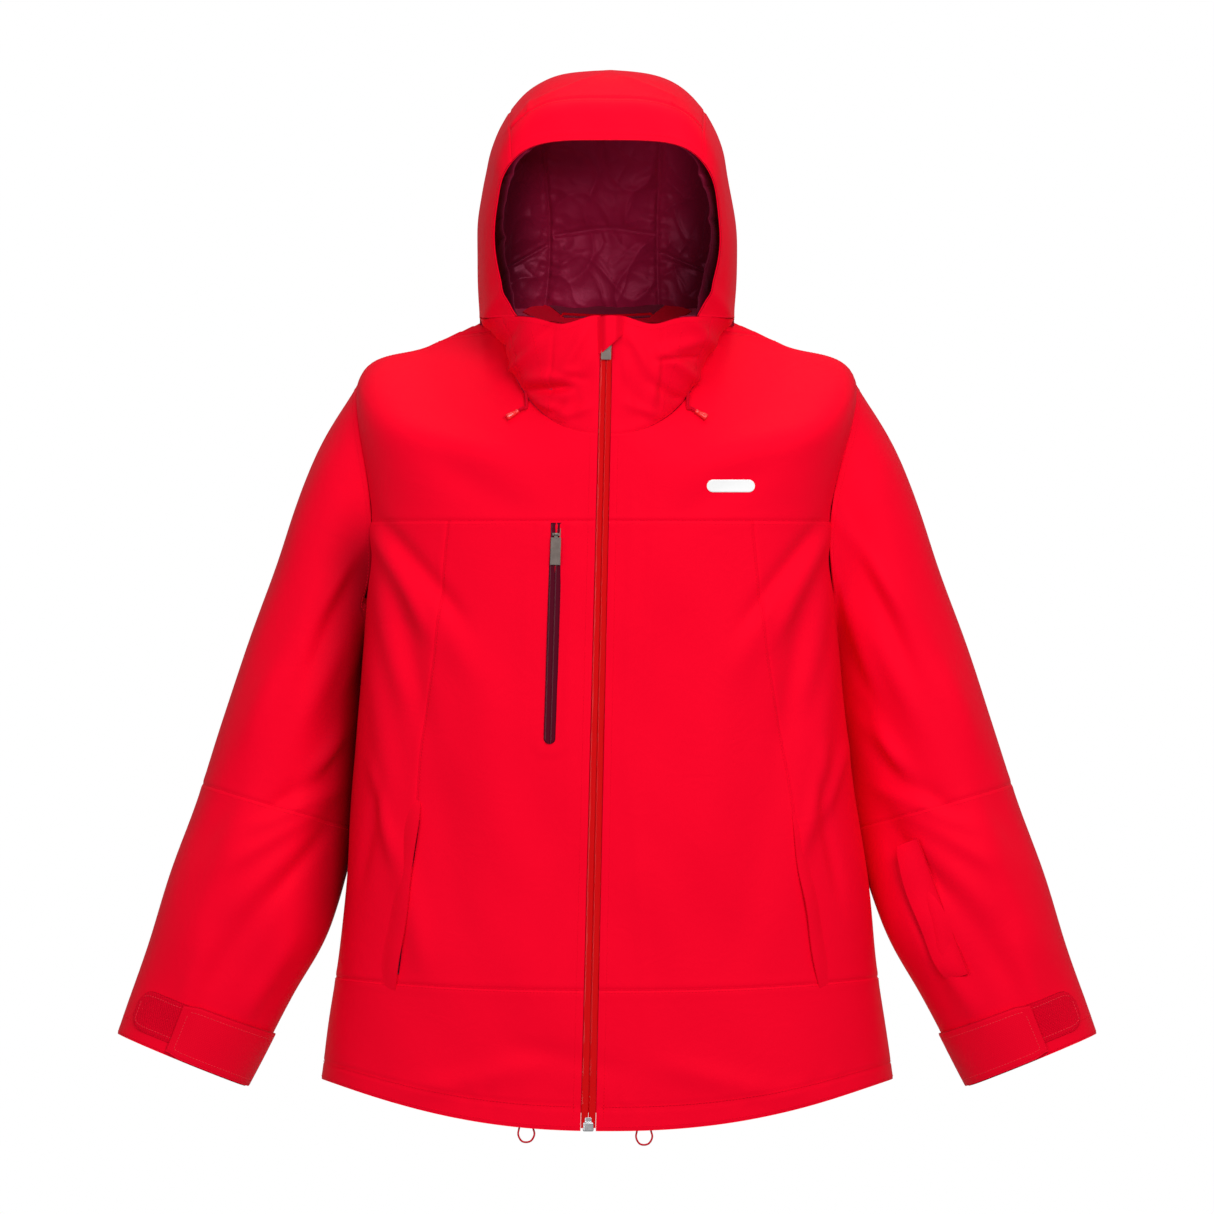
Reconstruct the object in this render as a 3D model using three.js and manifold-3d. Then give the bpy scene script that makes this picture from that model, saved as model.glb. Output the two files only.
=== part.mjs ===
// Hooded hardshell jacket with a quilted lining, modelled as sewn panels, zips, tabs and cords.
// Millimetres. +Z is up, the front faces -Y and the wearer's left is +X.
// The origin is the hanger loop inside the back of the neck.
import * as THREE from 'three';
import { mergeVertices } from 'three/addons/utils/BufferGeometryUtils.js';
import Module from 'manifold-3d';

const wasm = await Module();
wasm.setup();

// ---- Driving dimensions -------------------------------------------------------------------

const CHEST_HALF = 226;
const HEM_HALF = 273.5;
const SHOULDER_HALF = 237;
const FRONT_DEPTH = 118;
const BACK_DEPTH = 110;
const LEAN = -6;
const NECK_HALF = 98;
const NECK_BACK = 78;
const NECK_FRONT_Z = -122;
const SHOULDER_Z = -68;
const YOKE_Z = -204;
const HEM_SEAM_Z = -648;
const HEM_Z = -784;
const COLLAR_TOP_Z = -10;

const CUFF_DROP = -720;
const SLEEVE_DEPTH = 66;
const CUFF_DEPTH = 46;

const HOOD_HALF = 123.5;
const HOOD_TOP_Z = 223;
const HOOD_BACK = 114;
const FACE_TOP_Z = 156.5;
const BRIM_SEAM_Z = 197;

const SHELL = 2.4;
const LINING = 1.8;
const LINING_GAP = 4;
const SLEEVE_LINING_GAP = 3.6;
const HOOD_LINING_GAP = 2.4;
const LINING_DEPTH = SHELL + LINING_GAP;
const SEAM_GAP = 0.5;
const SEAT_GAP = 0.4;

const ZIP_TOP_Z = -12;
const ZIP_HALF_TOP = 5.5;
const ZIP_HALF_BOTTOM = 7;
const ZIP_SLIT = 1.6;
const ZIP_THICKNESS = 1.5;
const ZIP_LEAN = 18;
const CHEST_ZIP_LENGTH = 210;
const CHEST_ZIP_HALF = 5.7;
const HAND_ZIP_TOP = -488;
const HAND_ZIP_LENGTH = 152;
const HAND_ZIP_HALF = 4.2;
const SLIDER_LENGTH = 12;
const SLIDER_WIDTH = 8.6;
const PLATE = 1.2;
const SLIDER_CLEAR = 0.4;
const PULLER_LENGTH = 29;
const PULLER_WIDTH = 9.5;
const MAIN_PULLER_LENGTH = 17;
const PULLER_THICKNESS = 1.4;

const HEM_CORD = 1.8;
const HOOD_CORD = 3;
const TAB_THICKNESS = 2;
const PATCH_THICKNESS = 1.2;

const HANGER = { thickness: 1.6 };

// ---- Materials ----------------------------------------------------------------------------

function finish(color, roughness, metalness = 0) {
  return new THREE.MeshStandardMaterial({ color, roughness, metalness });
}

const SHELL_RED = finish('#e00a30', 0.8);
const LINING_RED = finish('#6e1030', 0.55);
const ZIP_RED = finish('#b80018', 0.3);
const ZIP_DARK = finish('#4a0818', 0.3);
const METAL = finish('#77706a', 0.35, 0.9);
const SILVER = finish('#b9b9bb', 0.3, 0.9);
const TAB_RED = finish('#d01830', 0.6);
const CORD_RED = finish('#c81428', 0.7);
const TIP_RED = finish('#e23a30', 0.35);

// ---- Small helpers ------------------------------------------------------------------------

const DEG = Math.PI / 180;
const vector = (x, y, z) => new THREE.Vector3(x, y, z);
const mix = THREE.MathUtils.lerp;

function signedPower(value, exponent) {
  return Math.sign(value) * Math.abs(value) ** exponent;
}

// Cubic through four equally spaced values, between the middle two.
function spline(before, from, to, after, share) {
  const slopeFrom = (to - before) / 2;
  const slopeTo = (after - from) / 2;
  const s2 = share * share;
  const s3 = s2 * share;
  const start = (2 * s3 - 3 * s2 + 1) * from + (s3 - 2 * s2 + share) * slopeFrom;
  return start + (3 * s2 - 2 * s3) * to + (s3 - s2) * slopeTo;
}

// Value at place t of a list of numbers spaced one apart.
function along(list, t) {
  const last = list.length - 1;
  const low = Math.max(0, Math.min(last - 1, Math.floor(t)));
  const before = low > 0 ? list[low - 1] : 2 * list[0] - list[1];
  const after = low + 2 <= last ? list[low + 2] : 2 * list[last] - list[last - 1];
  return spline(before, list[low], list[low + 1], after, t - low);
}

const group = new THREE.Group();

function addMesh(name, geometry, material) {
  const mesh = new THREE.Mesh(geometry, material);
  mesh.name = name;
  group.add(mesh);
  return mesh;
}

// ---- Surfaces -----------------------------------------------------------------------------

// A surface wraps a point function of two numbers and gives its outward normal and its speeds.
class Surface {
  constructor(point, facing = 1) {
    this.point = point;
    this.facing = facing;
  }

  slopes(u, v) {
    const step = 1e-3;
    const du = this.point(u + step, v).sub(this.point(u - step, v)).divideScalar(2 * step);
    const dv = this.point(u, v + step).sub(this.point(u, v - step)).divideScalar(2 * step);
    return [du, dv];
  }

  normal(u, v) {
    const [du, dv] = this.slopes(u, v);
    return du.cross(dv).normalize().multiplyScalar(this.facing);
  }

  lifted(u, v, height) {
    return this.point(u, v).addScaledVector(this.normal(u, v), height);
  }
}

// Closed slab between two grids of points that face each other.
function slabGeometry(outer, inner, closed = false) {
  const rows = outer.length;
  const columns = outer[0].length;
  const total = rows * columns;
  const points = [...outer.flat(), ...inner.flat()];
  const wrap = closed ? columns : columns - 1;
  const index = [];
  const quad = (a, b, c, d) => index.push(a, b, c, a, c, d);
  const at = (row, column) => row * columns + (column % columns);
  for (let i = 0; i < rows - 1; i += 1) {
    for (let j = 0; j < wrap; j += 1) {
      quad(at(i, j), at(i + 1, j), at(i + 1, j + 1), at(i, j + 1));
      quad(total + at(i, j), total + at(i, j + 1), total + at(i + 1, j + 1), total + at(i + 1, j));
    }
  }
  for (let j = 0; j < wrap; j += 1) {
    const last = rows - 1;
    quad(at(0, j), at(0, j + 1), total + at(0, j + 1), total + at(0, j));
    quad(at(last, j), total + at(last, j), total + at(last, j + 1), at(last, j + 1));
  }
  if (!closed) {
    for (let i = 0; i < rows - 1; i += 1) {
      const end = columns - 1;
      quad(at(i, 0), total + at(i, 0), total + at(i + 1, 0), at(i + 1, 0));
      quad(at(i, end), at(i + 1, end), total + at(i + 1, end), total + at(i, end));
    }
  }
  return facingOut(points.flatMap((p) => [p.x, p.y, p.z]), index);
}

// Geometry of a closed mesh, turned so that its faces point out.
function facingOut(positions, index) {
  let volume = 0;
  const corner = (i) => vector(...positions.slice(3 * i, 3 * i + 3));
  for (let i = 0; i < index.length; i += 3) {
    volume += corner(index[i]).dot(corner(index[i + 1]).cross(corner(index[i + 2])));
  }
  const turned = volume < 0 ? index.slice().reverse() : index;
  const geometry = new THREE.BufferGeometry();
  geometry.setAttribute('position', new THREE.Float32BufferAttribute(positions, 3));
  geometry.setIndex(turned);
  geometry.computeVertexNormals();
  return geometry;
}

// Slab on a surface: rows lists v, start and end give u on each row, heights are measured along
// the normal and may be functions of the shares across and down. trim holds the setback of the
// four edges: start, end, first row, last row.
function slabOn(surface, shape) {
  const { rows, columns, start, end, top = 0, bottom = -SHELL } = shape;
  const trim = shape.trim ?? [SEAM_GAP / 2, SEAM_GAP / 2, SEAM_GAP / 2, SEAM_GAP / 2];
  const height = (value, across, down) => (typeof value === 'function' ? value(across, down) : value);
  const edge = shape.normal ?? ((u, v) => surface.normal(u, v));
  const outer = [];
  const inner = [];
  rows.forEach((v, i) => {
    const outerRow = [];
    const innerRow = [];
    const count = shape.closed ? columns - 1 : columns;
    for (let j = 0; j <= count; j += 1) {
      const share = j / columns;
      const u = mix(start(v), end(v), share);
      const [du, dv] = surface.slopes(u, v);
      let shiftU = 0;
      let shiftV = 0;
      if (!shape.closed && j === 0) shiftU = trim[0] / du.length();
      if (!shape.closed && j === columns) shiftU = -trim[1] / du.length();
      if (i === 0) shiftV = trim[2] / dv.length();
      if (i === rows.length - 1) shiftV = -trim[3] / dv.length();
      const place = surface.point(u + shiftU, v + shiftV);
      const out = edge(u, v);
      const down = i / (rows.length - 1);
      outerRow.push(place.clone().addScaledVector(out, height(top, share, down)));
      innerRow.push(place.clone().addScaledVector(out, height(bottom, share, down)));
    }
    outer.push(outerRow);
    inner.push(innerRow);
  });
  return slabGeometry(outer, inner, shape.closed);
}

// ---- Solids joined and cut ----------------------------------------------------------------

function toSolid(geometry) {
  const bare = geometry.clone();
  bare.deleteAttribute('normal');
  if (bare.getAttribute('uv')) bare.deleteAttribute('uv');
  const merged = mergeVertices(bare, 1e-4);
  const vertProperties = new Float32Array(merged.attributes.position.array);
  const triVerts = new Uint32Array(merged.index.array);
  return new wasm.Manifold(new wasm.Mesh({ numProp: 3, vertProperties, triVerts }));
}

function toGeometry(solid) {
  const mesh = solid.getMesh();
  const geometry = new THREE.BufferGeometry();
  geometry.setAttribute('position', new THREE.Float32BufferAttribute(mesh.vertProperties, 3));
  geometry.setIndex([...mesh.triVerts]);
  geometry.computeVertexNormals();
  return geometry;
}

function cut(geometry, tools) {
  return toGeometry(tools.reduce((solid, tool) => solid.subtract(toSolid(tool)), toSolid(geometry)));
}

function join(geometries) {
  return toGeometry(geometries.map(toSolid).reduce((sum, solid) => sum.add(solid)));
}

// Box given by its size and centre.
function block(size, centre) {
  return new THREE.BoxGeometry(...size).translate(...centre);
}

// Round bar between two points.
function bar(radius, from, to, sides = 12) {
  const axis = to.clone().sub(from);
  const geometry = new THREE.CylinderGeometry(radius, radius, axis.length(), sides);
  const turn = new THREE.Quaternion().setFromUnitVectors(vector(0, 1, 0), axis.clone().normalize());
  geometry.applyQuaternion(turn);
  return geometry.translate(...from.clone().add(to).multiplyScalar(0.5).toArray());
}

// ---- Torso --------------------------------------------------------------------------------

// Rings from the neck seam to the hem. Each number is a row of the loft: half width, middle x,
// front and back depth, height at the side, front and back, outline power and tilt power.
const TORSO = {
  half: [
    NECK_HALF, 168, SHOULDER_HALF, CHEST_HALF - 1, CHEST_HALF, CHEST_HALF + 11, CHEST_HALF + 23,
    CHEST_HALF + 34, HEM_HALF,
  ],
  middle: [0, 0, 0, LEAN, LEAN, LEAN + 1.5, 0, 0, 0],
  back: [NECK_BACK, 96, BACK_DEPTH - 4, BACK_DEPTH + 2, BACK_DEPTH, 106, 106, 109, 114],
  sideZ: [-3, -34, SHOULDER_Z, YOKE_Z, -317, -425, -545, HEM_SEAM_Z + 8, HEM_Z + 46],
  frontZ: [NECK_FRONT_Z, -140, -162, YOKE_Z, -317, -425, -545, HEM_SEAM_Z - 2, HEM_Z],
  backZ: [-22, -38, -62, YOKE_Z, -317, -425, -545, HEM_SEAM_Z - 2, HEM_Z + 9],
  outline: [2.2, 2.3, 2.5, 2.7, 2.7, 2.6, 2.5, 2.4, 2.3],
  tilt: [0.85, 0.95, 1.2, 2, 2, 2, 2, 2.2, 2.35],
};
const ROW = { shoulder: 2, yoke: 3, hemSeam: 7, hem: 8 };

function torsoPoint(theta, v) {
  const power = 2 / along(TORSO.outline, v);
  const sine = Math.sin(theta);
  const cosine = Math.cos(theta);
  const half = along(TORSO.half, v);
  const depth = cosine > 0 ? FRONT_DEPTH : along(TORSO.back, v);
  const end = along(cosine > 0 ? TORSO.frontZ : TORSO.backZ, v);
  const side = along(TORSO.sideZ, v);
  const x = along(TORSO.middle, v) + half * signedPower(sine, power);
  const y = -depth * signedPower(cosine, power);
  const z = side + (end - side) * Math.abs(cosine) ** along(TORSO.tilt, v);
  return vector(x, y, z);
}

const torso = new Surface(torsoPoint);
torso.facing = Math.sign(torso.normal(0.4, 5).dot(vector(0, -1, 0)));

// Centre line of the front zip and its half width.
function zipShare(z) {
  return (ZIP_TOP_Z - z) / (ZIP_TOP_Z - HEM_Z);
}

function zipX(z) {
  return -ZIP_LEAN * zipShare(z);
}

function zipHalf(z) {
  return mix(ZIP_HALF_TOP, ZIP_HALF_BOTTOM, zipShare(z));
}

// Angle on a row of a surface at which its front reaches x, on the wearer's side given by sign.
function angleAtX(surface, v, x, sign) {
  let low = -0.6;
  let high = Math.PI / 2;
  for (let i = 0; i < 40; i += 1) {
    const middle = (low + high) / 2;
    if (sign * surface.point(sign * middle, v).x < sign * x) low = middle;
    else high = middle;
  }
  return (low + high) / 2;
}

function zipEdge(surface, sign, reveal = 0) {
  return (v) => {
    const z = surface.point(0, v).z;
    return angleAtX(surface, v, zipX(z) + sign * (zipHalf(z) + reveal), sign);
  };
}

// Armhole: an oval on the torso surface, from the shoulder row to below the chest.
const ARMHOLE = { middle: 100 * DEG, half: 25 * DEG, from: ROW.shoulder, to: 3.86, power: 2.4, lift: 0.9 };
const ARMHOLE_CENTRE = (ARMHOLE.from + ARMHOLE.to) / 2;
const ARMHOLE_RISE = (ARMHOLE.to - ARMHOLE.from) / 2;
const SHOULDER_SEAM = 84 * DEG;

function armholeReach(v) {
  const share = Math.abs(v - ARMHOLE_CENTRE) / ARMHOLE_RISE;
  return share >= 1 ? 0 : ARMHOLE.half * (1 - share ** ARMHOLE.power) ** (1 / ARMHOLE.power);
}

// Edge of the front panels (step -1) or of the back panels (step 1): shoulder, armhole, side.
function sideEdge(step) {
  return (v) => {
    if (v <= ARMHOLE.from) return mix(SHOULDER_SEAM, ARMHOLE.middle, v / ARMHOLE.from);
    return ARMHOLE.middle + step * armholeReach(v);
  };
}

const frontEdge = sideEdge(-1);
const backEdge = sideEdge(1);

// Princess seam from the chest yoke to the hem panel, as distances from the torso's middle.
const PRINCESS = [145, 157, 174, 187, 204];

function princessEdge(sign) {
  return (v) => {
    const x = along(TORSO.middle, v) + sign * along(PRINCESS, v - ROW.yoke);
    return angleAtX(torso, v, x, sign);
  };
}

const YOKE_ROWS = [0, 0.5, 1.1, 1.7, 2, 2.15, 2.5, 3];
const BODY_ROWS = [3, 3.4, 3.7, 3.86, 4.5, 5.2, 6, 7];
const HEM_ROWS = [7, 7.5, 8];
const LINING_ROWS = [0.15, 1.1, 2, 2.15, 2.5, 3, 3.4, 3.7, 3.86, 4.5, 5.2, 6, 7, 7.85];

const SIDES = [['left', 1], ['right', -1]];

// Panel between two angles measured from the front on the wearer's side given by sign.
function sidePanel(surface, sign, rows, columns, from, to, extra = {}) {
  const near = (v) => sign * from(v);
  const far = (v) => sign * to(v);
  const ends = sign > 0 ? { start: near, end: far } : { start: far, end: near };
  return slabOn(surface, { rows, columns, ...ends, ...extra });
}

// Panel across the back, from one side edge round to the other.
function backPanel(surface, rows, columns, edge, extra = {}) {
  return slabOn(surface, { rows, columns, start: edge, end: (v) => 2 * Math.PI - edge(v), ...extra });
}

const innerLayer = (depth) => ({ top: -depth, bottom: -depth - LINING });
const INNER_LAYER = innerLayer(LINING_DEPTH);

// ---- Collar and hood ----------------------------------------------------------------------

// Ring on which the hood stands: the top of the collar, carried round to the back.
const HOOD_RING = { front: FRONT_DEPTH, sideZ: 8, backZ: -2, power: 3, start: 48 * DEG };

function hoodRing(theta) {
  const cosine = Math.cos(theta);
  const depth = cosine > 0 ? HOOD_RING.front : HOOD_BACK;
  const end = cosine > 0 ? COLLAR_TOP_Z : HOOD_RING.backZ;
  const x = (HOOD_HALF - 1.5) * signedPower(Math.sin(theta), 2 / HOOD_RING.power);
  const y = -depth * signedPower(cosine, 2 / HOOD_RING.power);
  return vector(x, y, HOOD_RING.sideZ + (end - HOOD_RING.sideZ) * Math.abs(cosine) ** 0.8);
}

const collar = new Surface((theta, w) => torsoPoint(theta, 0).lerp(hoodRing(theta), w));
collar.facing = Math.sign(collar.normal(0.4, 0.5).dot(vector(0, -1, 0)));

// Arches from the face opening (row 0) over the crown to the back of the ring (last row).
const HOOD = {
  foot: [48, 58, 74, 92, 112, 132, 147, 157],
  half: [112, 118, HOOD_HALF, HOOD_HALF, 120, 108, 86, 66],
  top: [FACE_TOP_Z, BRIM_SEAM_Z, HOOD_TOP_Z - 1, HOOD_TOP_Z, 200, 140, 60, HOOD_RING.backZ],
  forward: [150, 137, 85, 15, -55, -98, -112, -HOOD_BACK],
  power: [4.2, 3.4, 3, 3, 2.8, 2.6, 2.4, 2.2],
};
const HOOD_LAST = 7;

function hoodArch(psi, w) {
  const theta = along(HOOD.foot, w) * DEG;
  const foot = hoodRing(theta);
  const half = along(HOOD.half, w);
  const power = 2 / along(HOOD.power, w);
  const rise = signedPower(Math.sin(psi), power);
  const reach = signedPower(Math.cos(psi), power);
  const narrowing = 1 - (1 - foot.x / half) * Math.max(0, 1 - rise) ** 4;
  const arch = vector(
    half * reach * narrowing,
    mix(foot.y, -along(HOOD.forward, w), Math.abs(rise) ** 1.2),
    mix(foot.z, along(HOOD.top, w), rise),
  );
  return arch;
}

// The last arch lies on the ring, so the arches before it are eased towards that line.
function hoodPoint(psi, w) {
  const close = Math.max(0, w - HOOD_LAST + 1);
  const theta = HOOD.foot[HOOD_LAST] * DEG;
  const gap = hoodRing(mix(theta, 2 * Math.PI - theta, psi / Math.PI)).sub(hoodArch(psi, HOOD_LAST));
  return hoodArch(psi, w).addScaledVector(gap, close * close);
}

const hood = new Surface(hoodPoint);
hood.facing = Math.sign(hood.normal(Math.PI / 2, 3).z);

// At its foot the hood turns into the collar, so both use one level direction there.
function hoodNormal(psi, w) {
  const low = Math.min(psi, Math.PI - psi);
  if (low > 1e-6 && w < HOOD_LAST) return hood.normal(psi, w);
  const point = hoodPoint(psi, w);
  return vector(point.x, point.y, 0).normalize();
}

function collarNormal(theta, w) {
  if (w < 1) return collar.normal(theta, w);
  const point = hoodRing(theta);
  return vector(point.x, point.y, 0).normalize();
}

const CROWN_SEAM = 50 * DEG;
const HOOD_ROWS = [0, 1, 2, 3, 4, 5, 6, 7];

// ---- Sleeves ------------------------------------------------------------------------------

// Rings below the armhole: outer and inner point (x past the chest's side, z), depth, middle y.
const SLEEVE = [
  [[52, -138], [15, -352], SLEEVE_DEPTH - 2, 14],
  [[92, -245], [18, -400], SLEEVE_DEPTH, 12],
  [[126, -345], [21.5, -448], SLEEVE_DEPTH + 2, 10],
  [[162, -455], [26.5, -499], SLEEVE_DEPTH + 2, 6],
  [[189, -532], [37, -590], SLEEVE_DEPTH - 2, 2],
  [[214, -608], [71, -657], SLEEVE_DEPTH - 8, -2],
  [[243, CUFF_DROP + 25.5], [120, CUFF_DROP - 25], CUFF_DEPTH, -5],
];
const ELBOW_ROW = 4;
const CUFF_ROW = 7;

function sleevePoint(sign) {
  return (psi, t) => {
    const swing = ARMHOLE.half * signedPower(Math.sin(psi), 2 / ARMHOLE.power);
    const rise = ARMHOLE_RISE * signedPower(Math.cos(psi), 2 / ARMHOLE.power);
    const start = torso.lifted(sign * (ARMHOLE.middle - swing), ARMHOLE_CENTRE - rise, ARMHOLE.lift);
    const rings = SLEEVE.map(([outer, inner, depth, middle]) => {
      const x = CHEST_HALF + mix(inner[0], outer[0], (1 + Math.cos(psi)) / 2);
      const z = mix(inner[1], outer[1], (1 + Math.cos(psi)) / 2);
      return vector(sign * x, middle - depth * Math.sin(psi), z);
    });
    const ring = [start, ...rings];
    return vector(...['x', 'y', 'z'].map((axis) => along(ring.map((p) => p[axis]), t)));
  };
}

// The sleeve's first edge lies flat on the torso, so its wall there runs along the torso.
function sleeveNormal(surface, sign) {
  return (psi, t) => {
    if (t > 0) return surface.normal(psi, t);
    const swing = ARMHOLE.half * signedPower(Math.sin(psi), 2 / ARMHOLE.power);
    const rise = ARMHOLE_RISE * signedPower(Math.cos(psi), 2 / ARMHOLE.power);
    const flat = torso.normal(sign * (ARMHOLE.middle - swing), ARMHOLE_CENTRE - rise);
    const out = surface.slopes(psi, 0)[0].cross(flat).normalize();
    const centre = torso.point(sign * ARMHOLE.middle, ARMHOLE_CENTRE);
    return out.multiplyScalar(Math.sign(out.dot(surface.point(psi, 0).sub(centre))));
  };
}

function sleeveSurface(sign) {
  const surface = new Surface(sleevePoint(sign));
  surface.facing = Math.sign(surface.normal(0, 3).x * sign);
  return surface;
}

const UPPER_ROWS = [0, 0.35, 1, 2, 3, ELBOW_ROW];
const FOREARM_ROWS = [ELBOW_ROW, 5, 6, CUFF_ROW];
const SLEEVE_COLUMNS = 20;
const fullTurn = { start: () => 0, end: () => 2 * Math.PI, closed: true };

// ---- Zips ---------------------------------------------------------------------------------

const PIN_OUT = 3.4;
const PIN_RADIUS = 0.6;
const EYE_BORE = 0.9;
const EYE_RADIUS = 1.6;
const EYE_WIDTH = 3.2;
const LUG_WIDTH = 1.6;
const NECK_LENGTH = 3;
const STOP_LENGTH = 4;
const WINDOW_GAP = 0.35;

// Frame of a straight zip: top point, bottom point and outward direction.
// Inside the frame the zip runs down -Z, its face looks to -Y and x is across.
function zipFrame(top, bottom, outward) {
  const up = top.clone().sub(bottom).normalize();
  const across = up.clone().cross(outward).normalize();
  const inward = up.clone().cross(across).normalize();
  return new THREE.Matrix4().makeBasis(across, inward, up).setPosition(top);
}

// Slider body at a drop below the top of the zip. The bridge runs in the zip's middle slit.
function sliderGeometry(drop, crowned) {
  const front = -SLIDER_CLEAR - PLATE / 2;
  const back = ZIP_THICKNESS + SLIDER_CLEAR + PLATE / 2;
  const parts = [
    block([SLIDER_WIDTH, PLATE, SLIDER_LENGTH], [0, front, -drop]),
    block([SLIDER_WIDTH, PLATE, SLIDER_LENGTH], [0, back, -drop]),
    block([ZIP_SLIT - 0.6, back - front, SLIDER_LENGTH / 3], [0, (front + back) / 2, -drop]),
  ];
  if (crowned) {
    const lugX = EYE_WIDTH / 2 + 0.3 + LUG_WIDTH / 2;
    const lugY = (front - PIN_OUT - PIN_RADIUS - 0.3) / 2;
    const lugHeight = PIN_OUT + PIN_RADIUS + 0.3 + front;
    for (const side of [-1, 1]) {
      parts.push(block([LUG_WIDTH, lugHeight, 2.6], [side * lugX, lugY, -drop]));
    }
    const end = lugX + LUG_WIDTH / 4;
    parts.push(bar(PIN_RADIUS, vector(-end, -PIN_OUT, -drop), vector(end, -PIN_OUT, -drop)));
  } else {
    const tail = [3, PLATE, SLIDER_LENGTH];
    parts.push(block(tail, [0, front, -drop - SLIDER_LENGTH + 1]));
  }
  return join(parts);
}

// Pull tab whose eye turns on the slider's pin.
function pullerGeometry(drop, length) {
  const half = EYE_WIDTH / 2;
  const pin = (x) => vector(x, -PIN_OUT, -drop);
  const bore = bar(EYE_BORE, pin(-half - 1), pin(half + 1), 16);
  const eye = cut(bar(EYE_RADIUS, pin(-half), pin(half), 16), [bore]);
  const neckZ = -drop - (EYE_BORE + 0.3 + NECK_LENGTH) / 2 - 0.2;
  const neck = block([EYE_WIDTH, PULLER_THICKNESS, NECK_LENGTH - EYE_BORE], [0, -PIN_OUT, neckZ]);
  const plateLength = length - NECK_LENGTH;
  const plate = block(
    [PULLER_WIDTH, PULLER_THICKNESS, plateLength],
    [0, -PIN_OUT, -drop - NECK_LENGTH - plateLength / 2],
  );
  return join([eye, neck, plate]);
}

// One-piece zip with end stops and a middle slit.
function pocketChain(length, half) {
  const whole = block([2 * half, ZIP_THICKNESS, length], [0, ZIP_THICKNESS / 2, -length / 2]);
  const slit = block([ZIP_SLIT, 3 * ZIP_THICKNESS, length - 2 * STOP_LENGTH], [0, 0, -length / 2]);
  return cut(whole, [slit]);
}

function zipWindow(length, half) {
  const width = 2 * (half + WINDOW_GAP);
  return block([width, 24, length + 2 * WINDOW_GAP], [0, 0, -length / 2]);
}

// Cloth flap over a zip: seated on one side, its free edge stands over the zip.
const FLAP = { seat: 11, edge: 3.5, lift: 4.2, cloth: 1.2, overrun: 3 };

function flapGeometry(length, half, side, seatLift) {
  const seat = side * (half + FLAP.seat);
  const bend = side * (half + 2);
  const edge = -side * FLAP.edge;
  const profile = [
    [seat, seatLift],
    [bend, FLAP.lift - FLAP.cloth],
    [edge, FLAP.lift],
    [edge, FLAP.lift + FLAP.cloth],
    [bend, FLAP.lift],
    [seat, seatLift + FLAP.cloth],
  ];
  const shape = new THREE.Shape(profile.map(([x, lift]) => new THREE.Vector2(x, -lift)));
  const depth = length + 2 * FLAP.overrun;
  const solid = new THREE.ExtrudeGeometry(shape, { depth, bevelEnabled: false });
  return turnedOut(solid.translate(0, 0, -length - FLAP.overrun));
}

function turnedOut(geometry) {
  const merged = mergeVertices(stripped(geometry), 1e-4);
  return facingOut([...merged.attributes.position.array], [...merged.index.array]);
}

function stripped(geometry) {
  const bare = geometry.clone();
  bare.deleteAttribute('normal');
  bare.deleteAttribute('uv');
  return bare;
}

// ---- Assembly -----------------------------------------------------------------------------

const cuts = { front_yoke: {}, front_panel: {}, side_panel: {}, collar: {} };

function placed(geometry, frame) {
  return geometry.clone().applyMatrix4(frame);
}

// Front zip.
const zipTop = vector(zipX(ZIP_TOP_Z), -FRONT_DEPTH, ZIP_TOP_Z);
const zipBottom = vector(zipX(HEM_Z), -FRONT_DEPTH, HEM_Z);
const frontFrame = zipFrame(zipTop, zipBottom, vector(0, -1, 0));
const RETAINER = { width: 10, height: 13, depth: 4.6 };
const zipLength = zipTop.distanceTo(zipBottom) - RETAINER.height - SEAT_GAP;
const MAIN_DROP = 22;

for (const [side, sign] of SIDES) {
  const plane = new Surface((x, drop) => vector(x, 0, -drop));
  const chain = sidePanel(
    plane, sign, [0, zipLength], 1, () => ZIP_SLIT / 2,
    (drop) => zipHalf(ZIP_TOP_Z - drop) - WINDOW_GAP,
    { top: 0, bottom: -ZIP_THICKNESS, trim: [0, 0, 0, 0], normal: () => vector(0, -1, 0) },
  );
  addMesh(`main_zip_${side}`, placed(chain, frontFrame), ZIP_RED);
}
const retainer = block(
  [RETAINER.width, RETAINER.depth, RETAINER.height],
  [0, ZIP_THICKNESS / 2, -zipLength - SEAT_GAP - RETAINER.height / 2],
);
addMesh('zip_retainer_box', placed(retainer, frontFrame), SILVER);
addMesh('main_slider', placed(sliderGeometry(MAIN_DROP, true), frontFrame), METAL);
addMesh('main_puller', placed(pullerGeometry(MAIN_DROP, MAIN_PULLER_LENGTH), frontFrame), METAL);

// Garage: a small arched flap over the closed slider, open above and below.
const GARAGE = { left: -9.5, right: 17, top: -9, leftBottom: -45, rightBottom: -28, arch: 7.4, cloth: 1.2 };
const garagePlane = new Surface((x, down) => {
  const share = (x - GARAGE.left) / (GARAGE.right - GARAGE.left);
  const bottom = mix(GARAGE.leftBottom, GARAGE.rightBottom, share);
  return vector(x, -FRONT_DEPTH, mix(GARAGE.top, bottom, down));
});
const archHeight = (share) => SEAT_GAP + GARAGE.arch * Math.sin(Math.PI * share) ** 0.5;
addMesh('zip_garage', slabOn(garagePlane, {
  rows: [0, 0.5, 1],
  columns: 10,
  start: () => GARAGE.left,
  end: () => GARAGE.right,
  top: (share) => archHeight(share) + GARAGE.cloth,
  bottom: (share) => archHeight(share),
  normal: () => vector(0, -1, 0),
}), SHELL_RED);

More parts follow.
